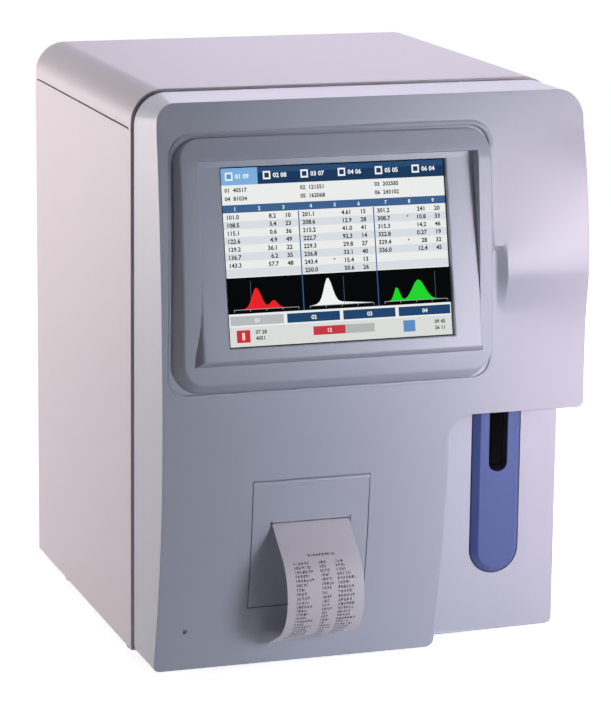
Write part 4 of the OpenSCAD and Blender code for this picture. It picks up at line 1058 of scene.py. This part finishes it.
def makeKey():
    x, face, half = key["x"], key["face"], key["slotW"] / 2
    back, past, relief = face + key["thick"], face + 20, key["relief"]
    piece = stadium("aspirateKey", x, key["low"], key["blankTop"], key["width"] / 2, face, back, 96)
    pick(piece)
    bpy.ops.object.mode_set(mode="EDIT")
    bpy.ops.mesh.select_all(action="SELECT")
    bpy.ops.mesh.bisect(plane_co=at(0, 0, key["top"]), plane_no=upAxis, use_fill=True, clear_outer=True)
    bpy.ops.object.mode_set(mode="OBJECT")

    def outline(edge, a, b):
        return frontRim(edge) and min(a.z, b.z) < key["top"] - 1

    def chamferEdge(edge, a, b):
        return sharp(edge, 30) and min(a.z, b.z) < key["top"] - 1 and max(a.y, b.y) < face + 5.5

    def slotRim(edge, a, b):
        inSlot = max(abs(a.x - x), abs(b.x - x)) < half + slack
        return frontRim(edge) and inSlot and max(a.y, b.y) < face + 0.2
    bevelWhere(piece, outline, key["chamfer"], 1)
    bevelWhere(piece, chamferEdge, key["soft"], 3)
    cutAway(piece,
            rod("springSeat", key["seatR"], (x, back - key["seat"], key["seatZ"]), (x, 0, key["seatZ"])),
            stadium("probeSlot", x, key["slotLow"], key["slotTop"], half, face - 5, past),
            stadium("slotRelief", x, key["slotLow"] - relief, key["slotTop"], half + relief,
                    face + key["slotWall"], past))
    bevelWhere(piece, slotRim, key["soft"], 3)
    return finishPiece(piece, "key", "key_plastic", blueAbs, "aspirate_key")


# casing: side sheets with soft edges, and a cover folded over the top
casing = {
    "half": 161.5, "sheet": 2, "front": casingFront, "back": 280, "top": 414, "seam": 28, "gap": 0.8,
    "corner": 24, "edge": 0.7, "tab": 5.5,
}


def makeSide(side, name, node):
    c = casing
    outer, inner = side * c["half"], side * (c["half"] - c["sheet"])
    left, right = min(outer, inner), max(outer, inner)
    edge, seam = c["edge"], c["top"] - c["seam"]
    piece = block(name, (left, c["front"], 0), (right, c["back"], seam - c["gap"]))
    bevelWhere(piece, lambda e, a, b: max(abs(a.x - outer), abs(b.x - outer)) < slack, edge, 3)
    tab = block("seamTab", (left, c["front"] + edge, seam - c["gap"] - edge),
                (right, c["front"] + c["tab"], seam + edge))
    joinTo(piece, tab)
    return finishPiece(piece, "root", "casing_paint", powderCoat, node)


def makeCover():
    c = casing
    piece = block("topCover", (-c["half"], c["front"], c["top"] - c["seam"]), (c["half"], c["back"], c["top"]))
    bevelWhere(piece, lambda e, a, b: alongY(a, b) and a.z > c["top"] - 1, c["corner"], 14)
    half = c["half"] - c["sheet"]
    hollow = block("hollow", (-half, -50, 0), (half, 400, c["top"] - c["sheet"]))
    bevelWhere(hollow, lambda e, a, b: alongY(a, b) and a.z > 100, c["corner"] - c["sheet"], 14)
    cutAway(piece, hollow)

    def outerEdge(edge, a, b):
        return sharp(edge, 60) and max(abs(a.x), abs(b.x), a.z - c["top"] + c["half"]) > c["half"] - 0.3
    bevelWhere(piece, outerEdge, c["edge"], 3)
    return finishPiece(piece, "root", "casing_paint", powderCoat, "top_cover")


# rubber feet, wider at the top; profiles are (radius, distance along the axis)
feet = {
    "x": (-148.5, 148.5), "y": (25, 205),
    "profile": ((0, 0), (9.6, 0), (10, -0.4), (9.6, -4), (9, -5.4), (8.2, -6), (4.2, -6), (3.6, -5), (0, -5)),
}
# small lens of the light at the front
led = {
    "x": -139, "z": 31.3, "r": 1.5,
    "profile": ((0, -0.5), (0.7, -0.42), (1.2, -0.15), (1.45, 0.4), (1.45, 6), (0, 6)),
}


# makes one piece of several, under one name
def gather(name, parts, body, slot, material, *nodes):
    parts[0].name = name
    return finishPiece(joinTo(*parts), body, slot, material, *nodes)


def makeFeet():
    parts = [lathe("foot", (x, y, 0), feet["profile"], "z", 40) for x in feet["x"] for y in feet["y"]]
    return gather("rubberFeet", parts, "root", "rubber", footRubber, "feet")


def makeLed():
    piece = lathe("powerLed", (led["x"], bowY(led["z"]), led["z"]), led["profile"])
    return finishPiece(piece, "root", "led", ledGreen, "power_led")


# rear fittings
rearFace = 279
screws = {"x": 147.5, "z": (30, 200, 370), "topX": 106.3, "topZ": 400, "radius": 3, "high": 2}
guard = {"x": -60, "z": 330, "wire": 0.8, "rings": (8, 13, 18, 23, 28), "spoke": 35, "radius": 2.8, "high": 1.9}


# pan head with a cross recess
def panHead(x, z, radius, high):
    y = rearFace
    dome = ((0, 0), (1, 0), (1, 0.35), (0.9, 0.66), (0.7, 0.88), (0.4, 1), (0, 1))
    piece = lathe("screw", (x, y, z), [(share * radius, along * high) for share, along in dome])
    arm, half, floor, past = 0.62 * radius, 0.16 * radius, y + 0.5 * high, y + 9
    for name, w, h in (("crossA", arm, half), ("crossB", half, arm)):
        cutAway(piece, block(name, (x - w, floor, z - h), (x + w, past, z + h)))
    return piece


def makeScrews():
    spots = [(side * screws["x"], z) for side in (-1, 1) for z in screws["z"]]
    spots += [(side * screws["topX"], screws["topZ"]) for side in (-1, 0, 1)]
    heads = [panHead(x, z, screws["radius"], screws["high"]) for x, z in spots]
    return gather("casingScrews", heads, "root", "steel", groundSteel, "casing_screws")


def ringAt(place, radius, wire, turn, sides, wireSides):
    clearSelection()
    bpy.ops.mesh.primitive_torus_add(
        major_radius=radius * mm, minor_radius=wire * mm, major_segments=sides, minor_segments=wireSides,
        location=place, rotation=(turn, 0, 0))
    return bpy.context.object


# round wire rings on two crossed wires, held by four screws
def makeGuard():
    x, z, wire = guard["x"], guard["z"], guard["wire"]
    y = rearFace + wire
    parts = []
    for radius in guard["rings"]:
        ringAt(at(x, y, z), radius, wire, math.radians(90), 72, 10)
        parts.append(applyPlace())
    reach = guard["spoke"] / math.sqrt(2)
    for slant in (-1, 1):
        rise = slant * reach
        parts.append(rod("spoke", wire, (x - reach, y, z - rise), (x + reach, y, z + rise), 12))
        for side in (-1, 1):
            parts.append(panHead(x + side * reach, z + side * rise, guard["radius"], guard["high"]))
    return gather("fanGuard", parts, "root", "steel", groundSteel, "fan_guard")


# hose ports: a barbed spout with a hexagon nut
ports = {
    "x": (-120, -98, -76, -54), "z": 60, "nutR": 7, "nutHigh": 4, "nutEdge": 0.7,
    "spout": ((1.5, -6), (4.45, -6), (4.45, 6.6), (4.1, 7), (2.8, 7), (2.8, 8.6), (3.4, 8.8), (3.4, 9.2),
              (2.7, 11.2), (3.4, 11.4), (3.4, 11.8), (2.4, 14.6), (1.9, 15), (1.5, 14.6), (1.5, -6)),
}


def makePorts():
    y, z = rearFace, ports["z"]
    top = y + ports["nutHigh"]
    parts = []
    for x in ports["x"]:
        parts.append(lathe("spout", (x, y, z), ports["spout"], sides=28))
        nut = rod("nut", ports["nutR"], (x, y, z), (x, top, z), 6)
        bevelWhere(nut, lambda e, a, b: min(a.y, b.y) > top - slack, ports["nutEdge"], 2)
        parts.append(nut)
    return gather("hosePorts", parts, "root", "brass", turnedBrass, "rear_ports")


# mains inlet with a socket for a plug and a place for the switch; pairs are half width and half height
inlet = {
    "x": 90, "z": 50, "switchX": 56, "plateX": (41.5, 106.5), "plateH": 13, "plate": 2, "corner": 2.5,
    "edge": 0.6, "socket": (11.5, 8), "socketDeep": 18, "socketTop": 4.5, "socketLow": 1.2, "rim": 0.35,
    "box": (13.2, 9.7), "switchBox": (9.2, 9.2), "boxDeep": 23, "window": (7, 8.5), "windowDeep": 19,
    "pins": ((-7, -1.5), (0, 2.5), (7, -1.5)), "pin": (1, 2), "pinDeep": (19, 2), "pinEdge": 0.6,
}


def makeInlet():
    c = inlet
    x, z, y, past = c["x"], c["z"], rearFace, rearFace + 20
    face = y + c["plate"]

    def boxAt(name, middle, half, y0, y1, up=0):
        w, h = half
        return block(name, (middle - w, y0, z + up - h), (middle + w, y1, z + up + h))
    left, right = c["plateX"]
    plate = slab("powerInlet", left, z - c["plateH"], right, z + c["plateH"], c["corner"], y, face, 5)
    bevelWhere(plate, lambda e, a, b: sharp(e) and min(a.y, b.y) > face - slack, c["edge"], 3)
    socket = boxAt("socket", x, c["socket"], y - c["socketDeep"], past)
    bevelWhere(socket, lambda e, a, b: alongY(a, b) and a.z > z, c["socketTop"], 1)
    bevelWhere(socket, lambda e, a, b: alongY(a, b) and a.z < z, c["socketLow"], 3)
    joinTo(plate, boxAt("inletBox", x, c["box"], y - c["boxDeep"], y + 0.5),
           boxAt("switchBox", c["switchX"], c["switchBox"], y - c["boxDeep"], y + 0.5))
    cutAway(plate, socket, boxAt("switchWindow", c["switchX"], c["window"], y - c["windowDeep"], past))
    bevelWhere(plate, lambda e, a, b: sharp(e) and min(a.y, b.y) > face - near, c["rim"], 2)
    finishPiece(plate, "root", "black_plastic", blackPlastic, "power_inlet")
    deep, tip = (y - d for d in c["pinDeep"])
    pins = []
    for side, up in c["pins"]:
        pin = boxAt("pin", x + side, c["pin"], deep, tip, up)
        bevelWhere(pin, lambda e, a, b: min(a.y, b.y) > tip - slack, c["pinEdge"], 2)
        pins.append(pin)
    return gather("inletPins", pins, "root", "steel", groundSteel)


# the switch's two marks, a bar and a ring, on its rounded face
rockerMarks = {
    "sunk": 3, "face": 8, "lean": 32, "bar": (0.7, 0.2, 3.4), "barEdge": 0.04, "ring": 1.5, "line": 0.3,
    "flat": 0.35,
}


def makeRockerMarks():
    c = rockerMarks
    x, z = inlet["switchX"], inlet["z"]
    lean = math.radians(c["lean"])
    y = rearFace - c["sunk"] + c["face"] * math.cos(lean)
    rise = c["face"] * math.sin(lean)
    clearSelection()
    bpy.ops.mesh.primitive_cube_add(size=mm, location=at(x, y, z + rise), rotation=(lean, 0, 0))
    bpy.context.object.scale = c["bar"]
    bar = applyPlace()
    ring = ringAt(at(x, y, z - rise), c["ring"], c["line"], math.radians(90) - lean, 32, 8)
    ring.scale = (1, 1, c["flat"])
    applyPlace()
    bevelWhere(bar, lambda e, a, b: sharp(e), c["barEdge"], 1)
    return gather("rockerMarks", [bar, ring], "rocker", "white_plastic", whitePlastic)


makeFascia()
makeBead()
makeSeamShade()
print("fascia done")
makeSurround()
makePanel()
makeDisplay()
makePicture()
print("screen done")
makeDoor()
makeStrip()
makeKey()
print("door, strip and key done")
makeSide(-1, "leftSidePanel", "left_side_panel")
makeSide(1, "rightSidePanel", "right_side_panel")
makeCover()
makeFeet()
makeLed()
print("casing done")
makeScrews()
makeGuard()
makePorts()
makeInlet()
makeRockerMarks()
print("rear done")

# camera, from the photo's own angle
cameraPlace = {
    "at": (-0.754, -2.2144, 0.727), "yaw": 18.85, "pitch": 12.77, "roll": 0.69, "lens": 158.15, "sensor": 36,
}


def makeCamera():
    yaw, pitch, roll = (math.radians(cameraPlace[k]) for k in ("yaw", "pitch", "roll"))
    forward = Vector((math.sin(yaw) * math.cos(pitch), math.cos(yaw) * math.cos(pitch), -math.sin(pitch)))
    right = Vector((math.cos(yaw), -math.sin(yaw), 0))
    up = right.cross(forward)
    turnedRight = math.cos(roll) * right + math.sin(roll) * up
    turnedUp = math.cos(roll) * up - math.sin(roll) * right
    data = bpy.data.cameras.new("camera")
    data.lens = cameraPlace["lens"]
    data.sensor_width = cameraPlace["sensor"]
    camera = bpy.data.objects.new("camera", data)
    turn = Matrix((turnedRight, turnedUp, -forward)).transposed().to_4x4()
    camera.matrix_world = Matrix.Translation(cameraPlace["at"]) @ turn
    bpy.context.scene.collection.objects.link(camera)
    bpy.context.scene.camera = camera


# studio, in metres: seen is the white room's strength to the eye and in gloss, ambient its light on matt faces
studio = {
    "seen": 1.4, "ambient": 0.0, "roomTint": "#f6f8ff", "floor": 60, "floorLift": 0.8, "farLift": 0.9,
    "liftRun": (0.3, 3.0),
}
# each lamp: place, target, power, tint, size, and spread in degrees
lamps = {
    "left": ((-1.6, 1.7, 0.27), (-0.16, 0.1, 0.12), 28.5, "#fff2f4", (1.2, 0.5), 180),
    "back": ((0.5, 1.1, 1.1), (0.05, 0.2, 0.42), 5.8, "#f1e3ff", (0.8, 0.6), 180),
    "over": ((0, 0, 1.7), (0, 0, 0.4), 4.4, "#f7edff", (1, 1), 180),
    "keyRight": ((0.38, -1.1, 0.38), (0.29, -0.17, 0.2), 0.3, "#ffd3d9", (0.16, 0.3), 34),
    "fillRight": ((0.55, -1.08, 0.36), (0.2, -0.17, 0.15), 0.97, "#e6e9f8", (0.5, 0.5), 48),
}


def makeLight(name, place, target, power, tint, size, spread):
    data = bpy.data.lights.new(name, "AREA")
    data.shape = "RECTANGLE"
    data.energy = power
    data.color = tone(tint)[:3]
    data.size, data.size_y = size
    data.spread = math.radians(spread)
    lamp = bpy.data.objects.new(name, data)
    lamp.location = place
    lamp.visible_camera = False
    lamp.rotation_euler = (Vector(target) - Vector(place)).to_track_quat("-Z", "Y").to_euler()
    bpy.context.scene.collection.objects.link(lamp)


def makeWorld():
    world = bpy.data.worlds.new("studio")
    bpy.context.scene.world = world
    world.use_nodes = True
    tree = world.node_tree
    rays = addNode(tree, "ShaderNodeLightPath")
    strength = addNode(tree, "ShaderNodeMapRange", {
        "Value": rays.outputs["Is Diffuse Ray"], "To Min": studio["seen"], "To Max": studio["ambient"]})
    background = tree.nodes["Background"]
    background.inputs["Color"].default_value = tone(studio["roomTint"])
    tree.links.new(strength.outputs["Result"], background.inputs["Strength"])


# paper backdrop: plain matt white, lifted to the eye so that it runs into the room
def makeFloor():
    clearSelection()
    bpy.ops.mesh.primitive_plane_add(size=studio["floor"], location=(0, 0, 0))
    floor = bpy.context.object
    floor.name = "floor"
    sweep = grainFinish("paper_backdrop_white", "#f7f7f7", "#f5f5f5", roughness=0.8, grain=6, depth=0.01)
    tree = sweep.node_tree
    rays = addNode(tree, "ShaderNodeLightPath")
    place = addNode(tree, "ShaderNodeTexCoord").outputs["Object"]
    reach = addNode(tree, "ShaderNodeVectorMath", {"Vector": place}, operation="LENGTH")
    start, end = studio["liftRun"]
    far = addNode(tree, "ShaderNodeMapRange", {
        "Value": reach.outputs["Value"], "From Min": start, "From Max": end, "To Min": studio["floorLift"],
        "To Max": studio["farLift"]})
    eye = addNode(tree, "ShaderNodeMath", {
        0: rays.outputs["Is Camera Ray"], 1: rays.outputs["Is Glossy Ray"]}, operation="MAXIMUM")
    lift = addNode(tree, "ShaderNodeMapRange", {"Value": eye, "To Min": 0.0, "To Max": far})
    shader = tree.nodes["Principled BSDF"]
    shader.inputs["Emission Color"].default_value = tone("#ffffff")
    tree.links.new(lift.outputs["Result"], shader.inputs["Emission Strength"])
    floor.data.materials.append(sweep)


makeCamera()
makeFloor()
makeWorld()
for lampName, settings in lamps.items():
    makeLight(lampName, *settings)
bpy.context.scene.view_settings.view_transform = "Standard"
print("stage done")
